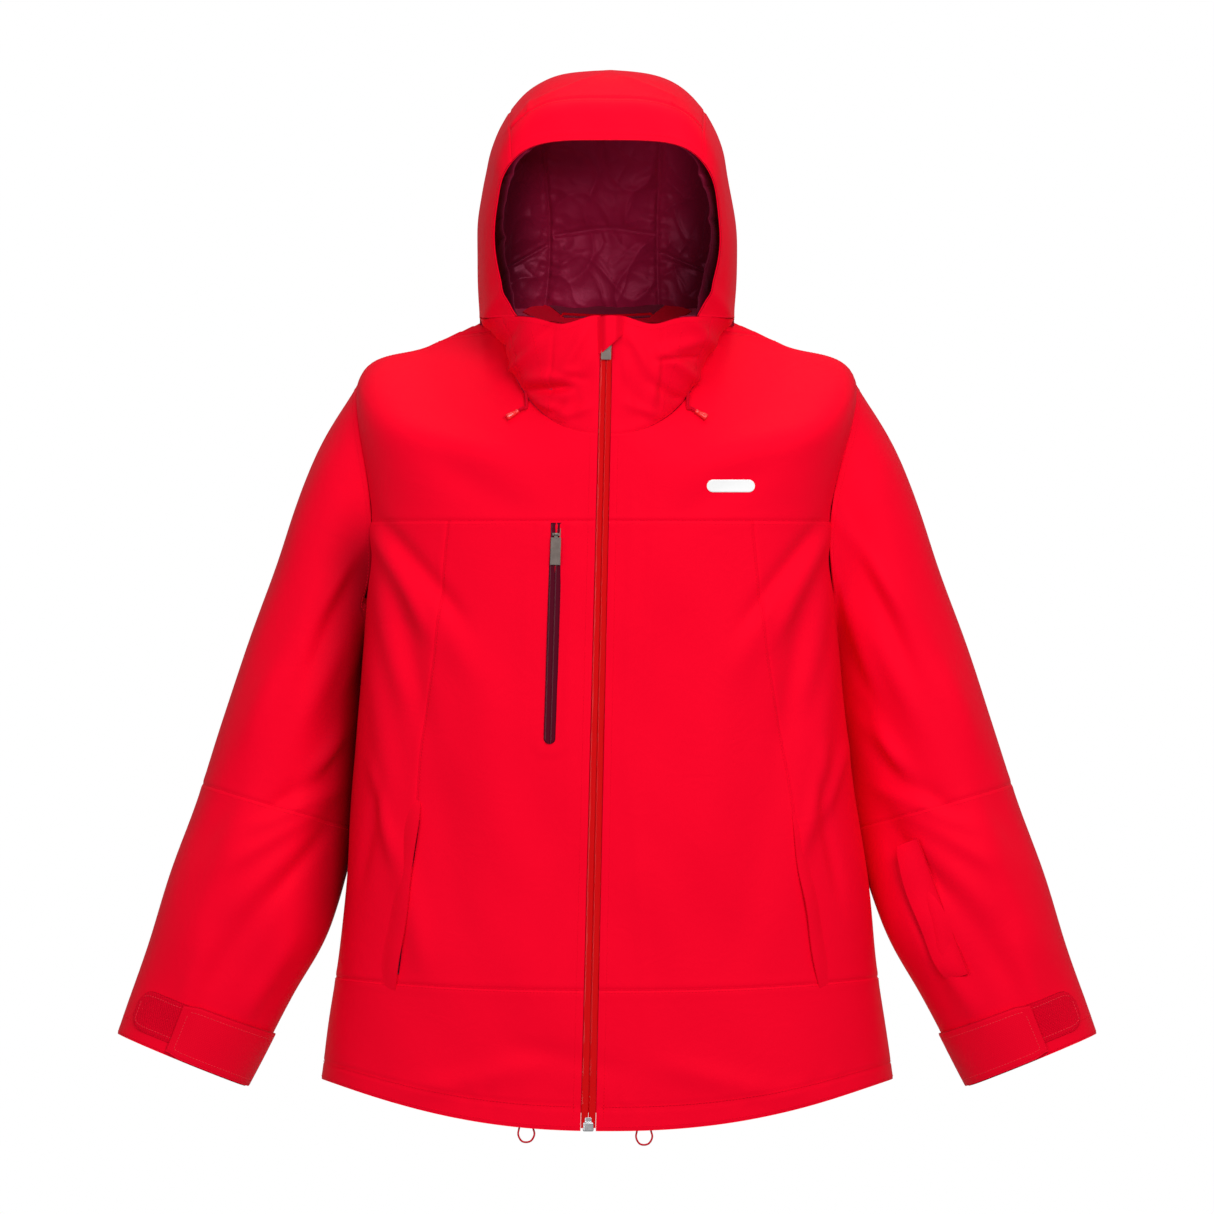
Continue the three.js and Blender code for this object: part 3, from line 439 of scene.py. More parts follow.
# Folds as x, z, direction in degrees above +x, half length, half width, height and face,
# where face is 1 for the front and -1 for the back.
FOLDS = [
    (-196, -262, -62, 60, 9, 5.5, 1), (-178, -250, -50, 62, 8, -4.0, 1), (-205, -318, -78, 62, 10, 4.5, 1),
    (-186, -340, -80, 75, 12, -3.5, 1), (-160, -300, -58, 60, 14, 2.6, 1), (-216, -400, -84, 75, 11, 3.6, 1),
    (186, -262, 64, 60, 9, 5.0, 1), (168, -252, 52, 62, 8, -3.6, 1), (196, -322, 80, 62, 10, 4.4, 1),
    (178, -342, 82, 75, 12, -3.2, 1), (150, -300, 60, 60, 14, 2.4, 1), (206, -400, 86, 75, 11, 3.4, 1),
    (-150, -128, -12, 66, 17, 2.4, 1), (150, -128, 12, 66, 17, 2.2, 1), (-118, -172, -30, 58, 16, -1.8, 1),
    (118, -172, 30, 58, 16, -1.7, 1), (-110, -430, -86, 110, 24, 2.6, 1), (-150, -520, -80, 90, 20, -2.4, 1),
    (96, -452, 84, 120, 26, 2.6, 1), (140, -540, 80, 90, 20, -2.2, 1), (-70, -590, 80, 80, 22, 2.0, 1),
    (60, -600, -80, 80, 24, 2.0, 1), (-190, -560, -76, 70, 12, 3.2, 1), (188, -440, 86, 60, 14, 2.6, 1),
    (-60, -505, -84, 110, 26, -1.8, 1), (50, -380, 86, 120, 28, -1.6, 1),
    (-130, -735, 10, 70, 12, 1.8, 1), (120, -738, -12, 70, 12, 1.8, 1), (-40, -715, -14, 60, 12, -1.4, 1),
    (22, -310, 88, 150, 6, 0.9, 1), (42, -270, 86, 110, 8, 0.8, 1), (-34, -320, 89, 150, 5, 0.8, 1),
    (-76, -330, 88, 110, 9, 0.8, 1), (30, -560, -87, 120, 7, 0.8, 1), (-46, -600, 85, 90, 8, 0.9, 1),
    (196, -470, 80, 50, 7, 4.0, 1), (210, -500, -80, 60, 6, -3.4, 1), (216, -455, 70, 40, 6, 3.4, 1),
    (-214, -480, -76, 46, 6, 3.6, 1), (-226, -500, 80, 50, 6, -3.0, 1),
    (0, -300, 88, 120, 26, 3.0, -1), (-90, -360, 76, 120, 22, 3.0, -1), (90, -360, -76, 120, 22, 3.0, -1),
    (-120, -520, 84, 120, 24, 3.0, -1), (120, -520, -84, 120, 24, 3.0, -1), (-20, -520, 88, 120, 30, -2.6, -1),
    (-150, -130, -14, 70, 18, 2.4, -1), (150, -130, 14, 70, 18, 2.4, -1), (40, -600, -70, 80, 20, 2.4, -1),
]

# Folds of the wearer's left sleeve; the other sleeve takes them with x reversed and other phases.
SLEEVE_FOLDS = [
    (242, -232, -58, 70, 9, 5.5, 1), (256, -268, -66, 80, 9, -4.6, 1), (236, -300, -72, 70, 9, 5.4, 1),
    (262, -330, -62, 78, 11, 4.2, 1), (246, -372, -70, 62, 9, -4.4, 1), (258, -398, -62, 54, 8, 4.8, 1),
    (276, -432, -50, 52, 9, 4.4, 1), (290, -452, -38, 54, 9, -4.2, 1), (300, -476, -24, 50, 9, 4.6, 1),
    (318, -502, -34, 54, 9, 4.0, 1), (298, -528, -52, 46, 8, -3.6, 1), (330, -540, -48, 60, 12, 3.2, 1),
    (346, -404, -68, 62, 14, 3.0, 1), (372, -470, -64, 58, 13, -2.8, 1), (384, -560, -62, 74, 15, 3.4, 1),
    (356, -600, -58, 64, 12, -3.0, 1), (402, -640, -66, 50, 12, 3.0, 1), (330, -640, -60, 46, 10, 3.4, 1),
    (300, -180, -64, 64, 16, 2.6, 1), (318, -300, -66, 84, 16, -2.6, 1), (286, -140, -60, 44, 13, -2.4, 1),
    (300, -300, -66, 90, 16, 3.4, -1), (270, -360, -60, 70, 12, 4.0, -1), (330, -480, -20, 60, 10, 4.4, -1),
    (340, -510, -36, 60, 10, -4.0, -1), (380, -600, -60, 70, 14, 3.6, -1),
]

COLLAR_FOLDS = [
    (-54, -79, 4, 20, 4.0, -6.0, 1), (-56, -67, 10, 24, 6, 4.5, 1), (-66, -94, -16, 24, 5, 4.0, 1),
    (-30, -40, 62, 24, 6, 2.6, 1), (-26, -86, 70, 26, 7, -2.4, 1), (-84, -50, 46, 34, 6, 4.6, 1),
    (-72, -36, 38, 32, 5, -4.0, 1), (-98, -34, 52, 30, 6, -3.2, 1), (30, -44, -60, 24, 6, 2.8, 1),
    (28, -92, -66, 26, 7, -2.4, 1), (68, -50, 5, 20, 2.2, -2.6, 1), (72, -38, 14, 24, 6, 3.2, 1),
    (80, -66, -40, 34, 6, 4.6, 1), (64, -86, -30, 26, 4.5, -3.8, 1), (98, -34, -54, 30, 6, 3.4, 1),
    (46, -70, 80, 28, 5, 2.4, 1), (-53, -56, 86, 30, 1.5, -1.1, 1), (52, -56, 88, 38, 1.5, -1.1, 1),
    (-40, -106, 24, 26, 5, 3.0, 1), (-52, -104, 50, 18, 3.5, -2.4, 1), (44, -104, -24, 26, 5, 2.8, 1),
    (-20, -62, 78, 26, 5, 1.6, 1), (20, -70, -82, 28, 5, 1.8, 1), (-36, -66, -14, 18, 4, -2.0, 1),
    (0, -20, 4, 60, 9, 2.6, -1), (-50, -30, 18, 50, 8, -2.4, -1), (50, -30, -18, 50, 8, -2.4, -1),
]

HOOD_FOLDS = [
    (-114, 36, -84, 60, 7, 2.6, 1), (114, 30, 84, 60, 7, 2.4, 1), (-112, -8, 60, 30, 6, 3.4, 1),
    (112, -8, -60, 30, 6, 3.2, 1), (-36, 208, 22.6, 40, 1.9, 1.5, 1), (36, 210, -21, 30, 1.9, 1.5, 1),
    (0, 214, 2, 40, 7, 1.0, 1), (-108, 100, -80, 40, 8, -1.6, 1), (108, 100, 80, 40, 8, -1.6, 1),
    (-86, 178, 50, 22, 2.0, 1.3, 1), (-74, 189, 76, 7, 1.6, 1.4, 1), (62, 198, 84, 6, 1.6, 1.4, 1),
    (-60, 60, 60, 90, 16, 2.6, -1), (60, 60, -60, 90, 16, 2.6, -1), (0, 20, 4, 90, 10, 2.4, -1),
]

# The forearm pocket's opening, on the wearer's left only.
FOREARM_FOLDS = [(294, -574, -69, 66, 6, -5.0, 1), (310, -566, -69, 60, 9, 2.6, 1), (324, -600, -74, 44, 7, -2.2, 1)]


def ridges(p, folds, turned=1.0):
    """Sum of folds: each is a bell across its direction that fades out towards its two ends."""
    x, y, z = p[..., 0] * turned, p[..., 1], p[..., 2]
    total = np.zeros(x.shape)
    for fx, fz, angle, length, width, height, face in folds:
        a = angle * DEG
        s = (x - fx) * math.cos(a) + (z - fz) * math.sin(a)
        t = -(x - fx) * math.sin(a) + (z - fz) * math.cos(a)
        t = t + 0.12 * width * np.sin(s / length * 2.3 + fx)
        shape = np.exp(-((t / width) ** 2)) * np.exp(-((s / length) ** 4))
        total += height * shape * smooth(-18, 34, -face * y)
    return total


def unevenness(p, size, height):
    """Slow waves of the cloth: four sine products whose directions and lengths don't repeat."""
    x, y, z = (p[..., i] / size for i in range(3))
    waves = np.sin(1.3 * x + 0.7 * z + 0.4) * np.cos(0.9 * z - 0.5 * x + 1.1 * y)
    waves = waves + 0.6 * np.sin(2.3 * z + 1.1 * x - 0.8 * y + 2.0)
    waves = waves + 0.4 * np.sin(3.7 * x - 1.9 * z + 1.3 * y + 0.6)
    return height * (waves + 0.3 * np.cos(5.3 * x + 4.1 * z - 2.2 * y))


def crumple(p, size, height):
    """Sharp soft-cloth wrinkles: ridged sines, bent by slower sines so that no line is straight."""
    x, y, z = (p[..., i] / size for i in range(3))
    bend_x = x + 0.8 * np.sin(1.7 * z + 0.6 * y) + 0.35 * np.sin(4.1 * z + 1.0)
    bend_z = z + 0.8 * np.sin(1.9 * x - 0.5 * y + 1.0) + 0.3 * np.sin(4.7 * x)
    first = 1 - np.abs(np.sin(1.9 * bend_x + 1.2 * bend_z))
    second = 1 - np.abs(np.sin(1.1 * bend_x - 2.3 * bend_z + 0.7))
    return height * (first**2.2 + 0.8 * second**2.4 - 0.6)


def body_cloth(p):
    fade = smooth(-8, -30, p[..., 2])
    return 1.15 * ridges(p, FOLDS) + unevenness(p, 74, 0.75) * fade


def sleeve_cloth(sign):
    def cloth(p):
        low = smooth(-120, -200, p[..., 2])
        turned = p * (sign, 1, 1) + (0.0 if sign > 0 else 7.0, 0.0, 0.0)
        folds = 1.1 * ridges(turned, SLEEVE_FOLDS) * smooth(-96, -150, p[..., 2])
        if sign > 0:
            folds = folds + ridges(p, FOREARM_FOLDS)
        return folds + unevenness(turned, 58, 0.7) * low

    return cloth


def hood_cloth(p):
    """The collar's and the hood's folds as one field, so that the cloth runs on from one to the other."""
    return ridges(p, COLLAR_FOLDS) + ridges(p, HOOD_FOLDS) + unevenness(p, 42, 0.45)


# ---- Meshes ------------------------------------------------------------------------------


def node_box(node):
    """Low and high corner of a CAD node in the torso's frame, in millimetres."""
    return [np.array(corner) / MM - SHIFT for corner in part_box(node)]


def run_along(path):
    """Distance run from the first of a line of points to each."""
    return np.concatenate([[0], np.cumsum(np.linalg.norm(np.diff(path, axis=0), axis=1))])


def make_object(name, verts, faces, uv):
    """Mesh object from points and UVs in millimetres and a list of face arrays, one for each corner count."""
    groups = [np.asarray(group, np.int32) for group in faces]
    mesh = bpy.data.meshes.new(name)
    verts = (np.asarray(verts, float) + SHIFT) * MM
    corners = np.concatenate([g.ravel() for g in groups])
    totals = np.concatenate([np.full(len(g), g.shape[1], np.int32) for g in groups])
    mesh.vertices.add(len(verts))
    mesh.vertices.foreach_set("co", verts.astype(np.float32).ravel())
    mesh.loops.add(len(corners))
    mesh.loops.foreach_set("vertex_index", corners)
    mesh.polygons.add(len(totals))
    starts = np.concatenate([[0], np.cumsum(totals)[:-1]]).astype(np.int32)
    mesh.polygons.foreach_set("loop_start", starts)
    mesh.polygons.foreach_set("loop_total", totals)
    mesh.polygons.foreach_set("use_smooth", np.full(len(totals), True))
    layer = mesh.uv_layers.new(name="UVMap")
    layer.data.foreach_set("uv", (np.asarray(uv, float) * MM)[corners].astype(np.float32).ravel())
    mesh.update(calc_edges=True)
    mesh.validate()
    obj = bpy.data.objects.new(name, mesh)
    bpy.context.scene.collection.objects.link(obj)
    return obj


def grid_faces(rows, columns, closed=False, offset=0, flip=False):
    """Quads of a grid of points; a closed grid joins its last column to its first."""
    across = columns if closed else columns - 1
    i, j = np.meshgrid(np.arange(rows - 1), np.arange(across), indexing="ij")
    k = (j + 1) % columns
    quad = np.stack([i * columns + j, i * columns + k, (i + 1) * columns + k, (i + 1) * columns + j], -1)
    quad = quad.reshape(-1, 4) + offset
    return quad[:, ::-1] if flip else quad


def slab(name, outer, inner, uv, closed=False):
    """Closed slab between two grids of points, joined along its free borders."""
    rows, columns = outer.shape[:2]
    count = rows * columns
    index = np.arange(count).reshape(rows, columns)
    faces = [grid_faces(rows, columns, closed), grid_faces(rows, columns, closed, count, True)]
    borders = [index[0][::-1], index[-1]]
    if closed:
        borders = [np.append(b, b[0]) for b in (index[0], index[-1])]
        borders[0] = borders[0][::-1]
    else:
        borders += [index[:, 0], index[:, -1][::-1]]
    for line in borders:
        faces.append(np.stack([line[1:], line[:-1], line[:-1] + count, line[1:] + count], -1))
    quads = np.concatenate(faces)
    verts = np.concatenate([outer.reshape(-1, 3), inner.reshape(-1, 3)])
    a, b, c = (verts[quads[:, k]] for k in range(3))
    outward = np.concatenate([(outer - inner).reshape(-1, 3)] * 2)
    outward[count:] *= -1
    half = len(grid_faces(rows, columns, closed))
    turn = np.sum(np.cross(b - a, c - b)[:half] * outward[quads[:half, 0]])
    if turn < 0:
        quads = quads[:, ::-1]
    return make_object(name, verts, [quads], np.concatenate([uv.reshape(-1, 2)] * 2))


EDGE_LINES = np.array((0.0, 0.7, 1.5, 2.6, 4.2, 6.6))


def spaced(length, step, count=None):
    """Distances along a line: close together at both ends, even between them."""
    edge = EDGE_LINES * min(1.0, length / (2.6 * EDGE_LINES[-1]))
    if count is None:
        count = max(2, int(round((length - 2 * edge[-1]) / step)) + 1)
    middle = np.linspace(edge[-1], length - edge[-1], count)
    return np.concatenate([edge[:-1], middle, (length - edge[:-1])[::-1]]), count


def arc(points):
    """Distance run along the second axis of a grid of points."""
    steps = np.linalg.norm(np.diff(points, axis=1), axis=2)
    return np.concatenate([np.zeros((len(points), 1)), np.cumsum(steps, 1)], 1)


def grid_on(surface, rows, start, end, step, closed=False):
    """Parameters and real distances of a grid on a surface, even in real distance both ways."""
    fine = np.linspace(rows[0], rows[1], 160)
    middle = (start(fine) + end(fine)) / 2 if not closed else np.full(160, 1.2)
    down = arc(surface(middle, fine)[None])[0]
    places, _ = spaced(down[-1], step)
    v = np.interp(places, down, fine)
    share = np.linspace(0, 1, 260)
    first, last = start(v), end(v)
    angles = first[:, None] + (last - first)[:, None] * share
    lengths = arc(surface(angles, v[:, None] * np.ones_like(angles)))
    if closed:
        count = max(8, int(round(lengths[:, -1].max() / step)))
        targets = [np.linspace(0, length, count + 1)[:-1] for length in lengths[:, -1]]
    else:
        _, count = spaced(lengths[:, -1].max(), step)
        targets = [spaced(length, step, count)[0] for length in lengths[:, -1]]
    u = np.array([np.interp(t, run, a) for t, run, a in zip(targets, lengths, angles)])
    across = np.array(targets)
    return u, v[:, None] * np.ones_like(u), across, places[:, None] * np.ones_like(u), lengths[:, -1]


def seam_profile(distance, depth):
    """Groove at a seam with the low ridge of its taped allowance beside it."""
    return -depth * np.exp(-((distance / 1.3) ** 2)) + 0.3 * depth * np.exp(-(((distance - 5) / 2.6) ** 2))


def seam_height(across, down, widths, seams):
    """Seam profiles of a grid's four borders: start, end, top and bottom, each with its own depth."""
    total = np.zeros_like(across)
    far = widths[:, None] - across
    low = down[-1, 0] - down
    for distance, depth in zip((across, far, down, low), seams):
        if depth:
            total += seam_profile(distance, depth)
    return total


def cell_area(grid):
    """Area of a grid of points, cell by cell."""
    corner = grid[:-1, :-1]
    return np.linalg.norm(np.cross(grid[:-1, 1:] - corner, grid[1:, :-1] - corner), axis=-1).sum()


def panel(name, surface, rows, start, end, outside, cloth=None, seams=(1, 1, 1, 1), depth=0.0,
          thickness=SHELL, step=4.2, closed=False, extra=None):
    """Sewn panel as a closed slab; returns its object, flat size and cut area.

    cloth gives a height for each point, extra one for each point and row, and seams a depth for each border.
    """
    u, v, across, down, widths = grid_on(surface, rows, start, end, step, closed)
    base = surface(u, v)
    n = face_normal(surface, u, np.clip(v, rows[0] + 2e-3, rows[1] - 2e-3), outside)
    height = np.zeros(u.shape) - depth
    if cloth is not None:
        height += cloth(base) * bpy.context.scene.jacket_shell.fold
    if extra is not None:
        height += extra(base, v)
    lift = height + seam_height(across, down, widths, np.array(seams) * bpy.context.scene.jacket_shell.seam)
    outer = base + n * lift[..., None]
    inner = base + n * (height - thickness)[..., None]
    uv = np.stack([across, down], -1)
    obj = slab(name, outer, inner, uv, closed)
    area = cell_area(np.concatenate([outer, outer[:, :1]], 1) if closed else outer)
    flat = (max(widths.max(), area / down[-1, 0]) * 1.001, down[-1, 0])
    if area / (flat[0] * flat[1]) < 0.32:
        flat = (flat[0], area / (0.4 * flat[0]))
    return obj, flat, area


def sheet(made, node, material_name="shell_red"):
    """Finishes a panel of the jacket: the CAD node it stands for and its material."""
    obj, flat, area = made
    finish_piece(obj, "jacket", node, material_name)


def finish_piece(obj, body, node, material_name):
    """Gives a piece its body, the CAD node it stands for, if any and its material."""
    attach(obj, body)
    if node:
        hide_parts(node)
    obj.data.materials.append(bpy.data.materials[material_name])
    return obj


# ---- Materials ---------------------------------------------------------------------------


def group_tree(name, source, result):
    """Shader node group with one float input, if it has a name, and one float output."""
    tree = bpy.data.node_groups.new(name, "ShaderNodeTree")
    if source:
        tree.interface.new_socket(source, in_out="INPUT", socket_type="NodeSocketFloat")
    tree.interface.new_socket(result, in_out="OUTPUT", socket_type="NodeSocketFloat")
    return tree, tree.nodes.new("NodeGroupInput"), tree.nodes.new("NodeGroupOutput")


def math_node(tree, operation, a, b=None, c=None):
    node = tree.nodes.new("ShaderNodeMath")
    node.operation = operation
    for socket, value in zip(node.inputs, (a, b, c)):
        if value is None:
            continue
        if isinstance(value, (int, float)):
            socket.default_value = value
        else:
            tree.links.new(value, socket)
    return node.outputs[0]


def noise_node(tree, vector, scale, detail=3.0, rough=0.55, distort=0.0):
    node = tree.nodes.new("ShaderNodeTexNoise")
    node.inputs["Scale"].default_value = scale
    node.inputs["Detail"].default_value = detail
    node.inputs["Roughness"].default_value = rough
    node.inputs["Distortion"].default_value = distort
    tree.links.new(vector, node.inputs["Vector"])
    return node.outputs["Fac"]


def weave_group():
    """Height of a plain weave: two crossed sines of the UV, in threads per metre."""
    tree, source, sink = group_tree("Plain Weave", "Threads", "Height")
    coords = tree.nodes.new("ShaderNodeTexCoord")
    split = tree.nodes.new("ShaderNodeSeparateXYZ")
    tree.links.new(coords.outputs["UV"], split.inputs[0])
    turns = math_node(tree, "MULTIPLY", source.outputs["Threads"], 2 * math.pi)
    across = math_node(tree, "SINE", math_node(tree, "MULTIPLY", split.outputs["X"], turns))
    down = math_node(tree, "SINE", math_node(tree, "MULTIPLY", split.outputs["Y"], turns))
    tree.links.new(math_node(tree, "MULTIPLY", across, down), sink.inputs["Height"])


def wrinkle_group():
    """Height of fine random creases, from two stretched noises of the object's own place."""
    tree, source, sink = group_tree("Fine Creases", "Size", "Height")
    coords = tree.nodes.new("ShaderNodeTexCoord")
    scaled = tree.nodes.new("ShaderNodeVectorMath")
    scaled.operation = "SCALE"
    tree.links.new(coords.outputs["Object"], scaled.inputs[0])
    tree.links.new(source.outputs["Size"], scaled.inputs["Scale"])
    first = noise_node(tree, scaled.outputs[0], 1.0, 3.0, 0.55, 1.4)
    second = noise_node(tree, scaled.outputs[0], 2.7, 2.0, 0.5, 0.6)
    folded = math_node(tree, "ABSOLUTE", math_node(tree, "SUBTRACT", first, 0.5))
    small = math_node(tree, "MULTIPLY", second, 0.35)
    tree.links.new(math_node(tree, "MULTIPLY_ADD", folded, 1.6, small), sink.inputs["Height"])


def braid_group():
    """Height of a braided cord: diagonal bands of the UV crossing one another."""
    tree, source, sink = group_tree("Braid", "Bands", "Height")
    coords = tree.nodes.new("ShaderNodeTexCoord")
    split = tree.nodes.new("ShaderNodeSeparateXYZ")
    tree.links.new(coords.outputs["UV"], split.inputs[0])
    turns = math_node(tree, "MULTIPLY", source.outputs["Bands"], 2 * math.pi)
    plus = math_node(tree, "ADD", split.outputs["X"], split.outputs["Y"])
    minus = math_node(tree, "SUBTRACT", split.outputs["X"], split.outputs["Y"])
    one = math_node(tree, "SINE", math_node(tree, "MULTIPLY", plus, turns))
    two = math_node(tree, "SINE", math_node(tree, "MULTIPLY", minus, turns))
    tree.links.new(math_node(tree, "MAXIMUM", one, two), sink.inputs["Height"])


def step_node(tree, value, start, stop):
    """Smooth step of a value from 0 at start to 1 at stop; start may be above stop."""
    node = tree.nodes.new("ShaderNodeMapRange")
    node.interpolation_type = "SMOOTHSTEP"
    node.inputs["From Min"].default_value = min(start, stop)
    node.inputs["From Max"].default_value = max(start, stop)
    node.inputs["To Min"].default_value = 0.0 if start < stop else 1.0
    node.inputs["To Max"].default_value = 1.0 if start < stop else 0.0
    tree.links.new(value, node.inputs["Value"])
    return node.outputs["Result"]


def shade_group(name, shades):
    """Painted shade standing in for the light lost in deep places: product of 1 - strength * side step * height window,
    in metres.
    """
    tree, _, sink = group_tree(f"Deep {name}", None, "Light")
    coords = tree.nodes.new("ShaderNodeTexCoord")
    split = tree.nodes.new("ShaderNodeSeparateXYZ")
    tree.links.new(coords.outputs["Object"], split.inputs[0])
    light = None
    for full, end, lean, strength, top, bottom in shades:
        leant = math_node(tree, "MULTIPLY_ADD", split.outputs["Z"], lean, split.outputs["X"])
        side = step_node(tree, leant, end, full)
        window = math_node(tree, "MULTIPLY", step_node(tree, split.outputs["Z"], top, top - 0.08),
                           step_node(tree, split.outputs["Z"], bottom, bottom + 0.11))
        dark = math_node(tree, "MULTIPLY", math_node(tree, "MULTIPLY", side, window), -strength)
        left = math_node(tree, "ADD", dark, 1.0)
        light = left if light is None else math_node(tree, "MULTIPLY", light, left)
    tree.links.new(light, sink.inputs["Light"])
    return tree


def material(name, color, rough, metal=0.0, specular=0.3, sheen=0.0, coat=0.0, coat_rough=0.1, tone=0.0,
             rough_tone=0.0, bumps=(), tint=None, shade=()):
    """Principled material; bumps are (node group, input value, strength, distance) laid on one another.

    Each painted shade darkens the base colour: (x where it's full, x where it ends, lean of x with z, strength, top z,
    bottom z).
    """
    made = bpy.data.materials.new(name)
    made.use_nodes = True
    tree = made.node_tree
    shader = tree.nodes["Principled BSDF"]
    shader.inputs["Roughness"].default_value = rough
    shader.inputs["Metallic"].default_value = metal
    shader.inputs["Specular IOR Level"].default_value = specular
    shader.inputs["Sheen Weight"].default_value = sheen
    shader.inputs["Sheen Roughness"].default_value = 0.45
    if tint:
        shader.inputs["Sheen Tint"].default_value = (*tint, 1)
        shader.inputs["Specular Tint"].default_value = (*tint, 1)
    shader.inputs["Coat Weight"].default_value = coat
    shader.inputs["Coat Roughness"].default_value = coat_rough
    coords = tree.nodes.new("ShaderNodeTexCoord")
    ramp = tree.nodes.new("ShaderNodeMix")
    ramp.data_type = "RGBA"
    ramp.inputs[6].default_value = (*(c * (1 - tone) for c in color), 1)
    ramp.inputs[7].default_value = (*(min(1.0, c * (1 + tone)) for c in color), 1)
    cloud = noise_node(tree, coords.outputs["Object"], 14.0, 5.0, 0.6)
    tree.links.new(cloud, ramp.inputs[0])
    color_out = ramp.outputs[2]
    # Painted shade: the base colour is multiplied by the shade group's light factor.
    if shade:
        node = tree.nodes.new("ShaderNodeGroup")
        node.node_tree = shade_group(name, shade)
        darker = tree.nodes.new("ShaderNodeMix")
        darker.data_type = "RGBA"
        darker.blend_type = "MULTIPLY"
        darker.inputs[0].default_value = 1.0
        tree.links.new(color_out, darker.inputs[6])
        tree.links.new(node.outputs["Light"], darker.inputs[7])
        color_out = darker.outputs[2]
    tree.links.new(color_out, shader.inputs["Base Color"])
    if rough_tone:
        fine = noise_node(tree, coords.outputs["Object"], 160.0, 3.0, 0.6)
        uneven = math_node(tree, "MULTIPLY_ADD", fine, rough_tone, rough - rough_tone / 2)
        tree.links.new(uneven, shader.inputs["Roughness"])
    before = None
    for group, value, strength, distance in bumps:
        node = tree.nodes.new("ShaderNodeGroup")
        node.node_tree = bpy.data.node_groups[group]
        node.inputs[0].default_value = value
        bumped = tree.nodes.new("ShaderNodeBump")
        bumped.inputs["Strength"].default_value = strength
        bumped.inputs["Distance"].default_value = distance
        tree.links.new(node.outputs["Height"], bumped.inputs["Height"])
        if before:
            tree.links.new(before, bumped.inputs["Normal"])
        before = bumped.outputs["Normal"]
    if before:
        tree.links.new(before, shader.inputs["Normal"])
    return made


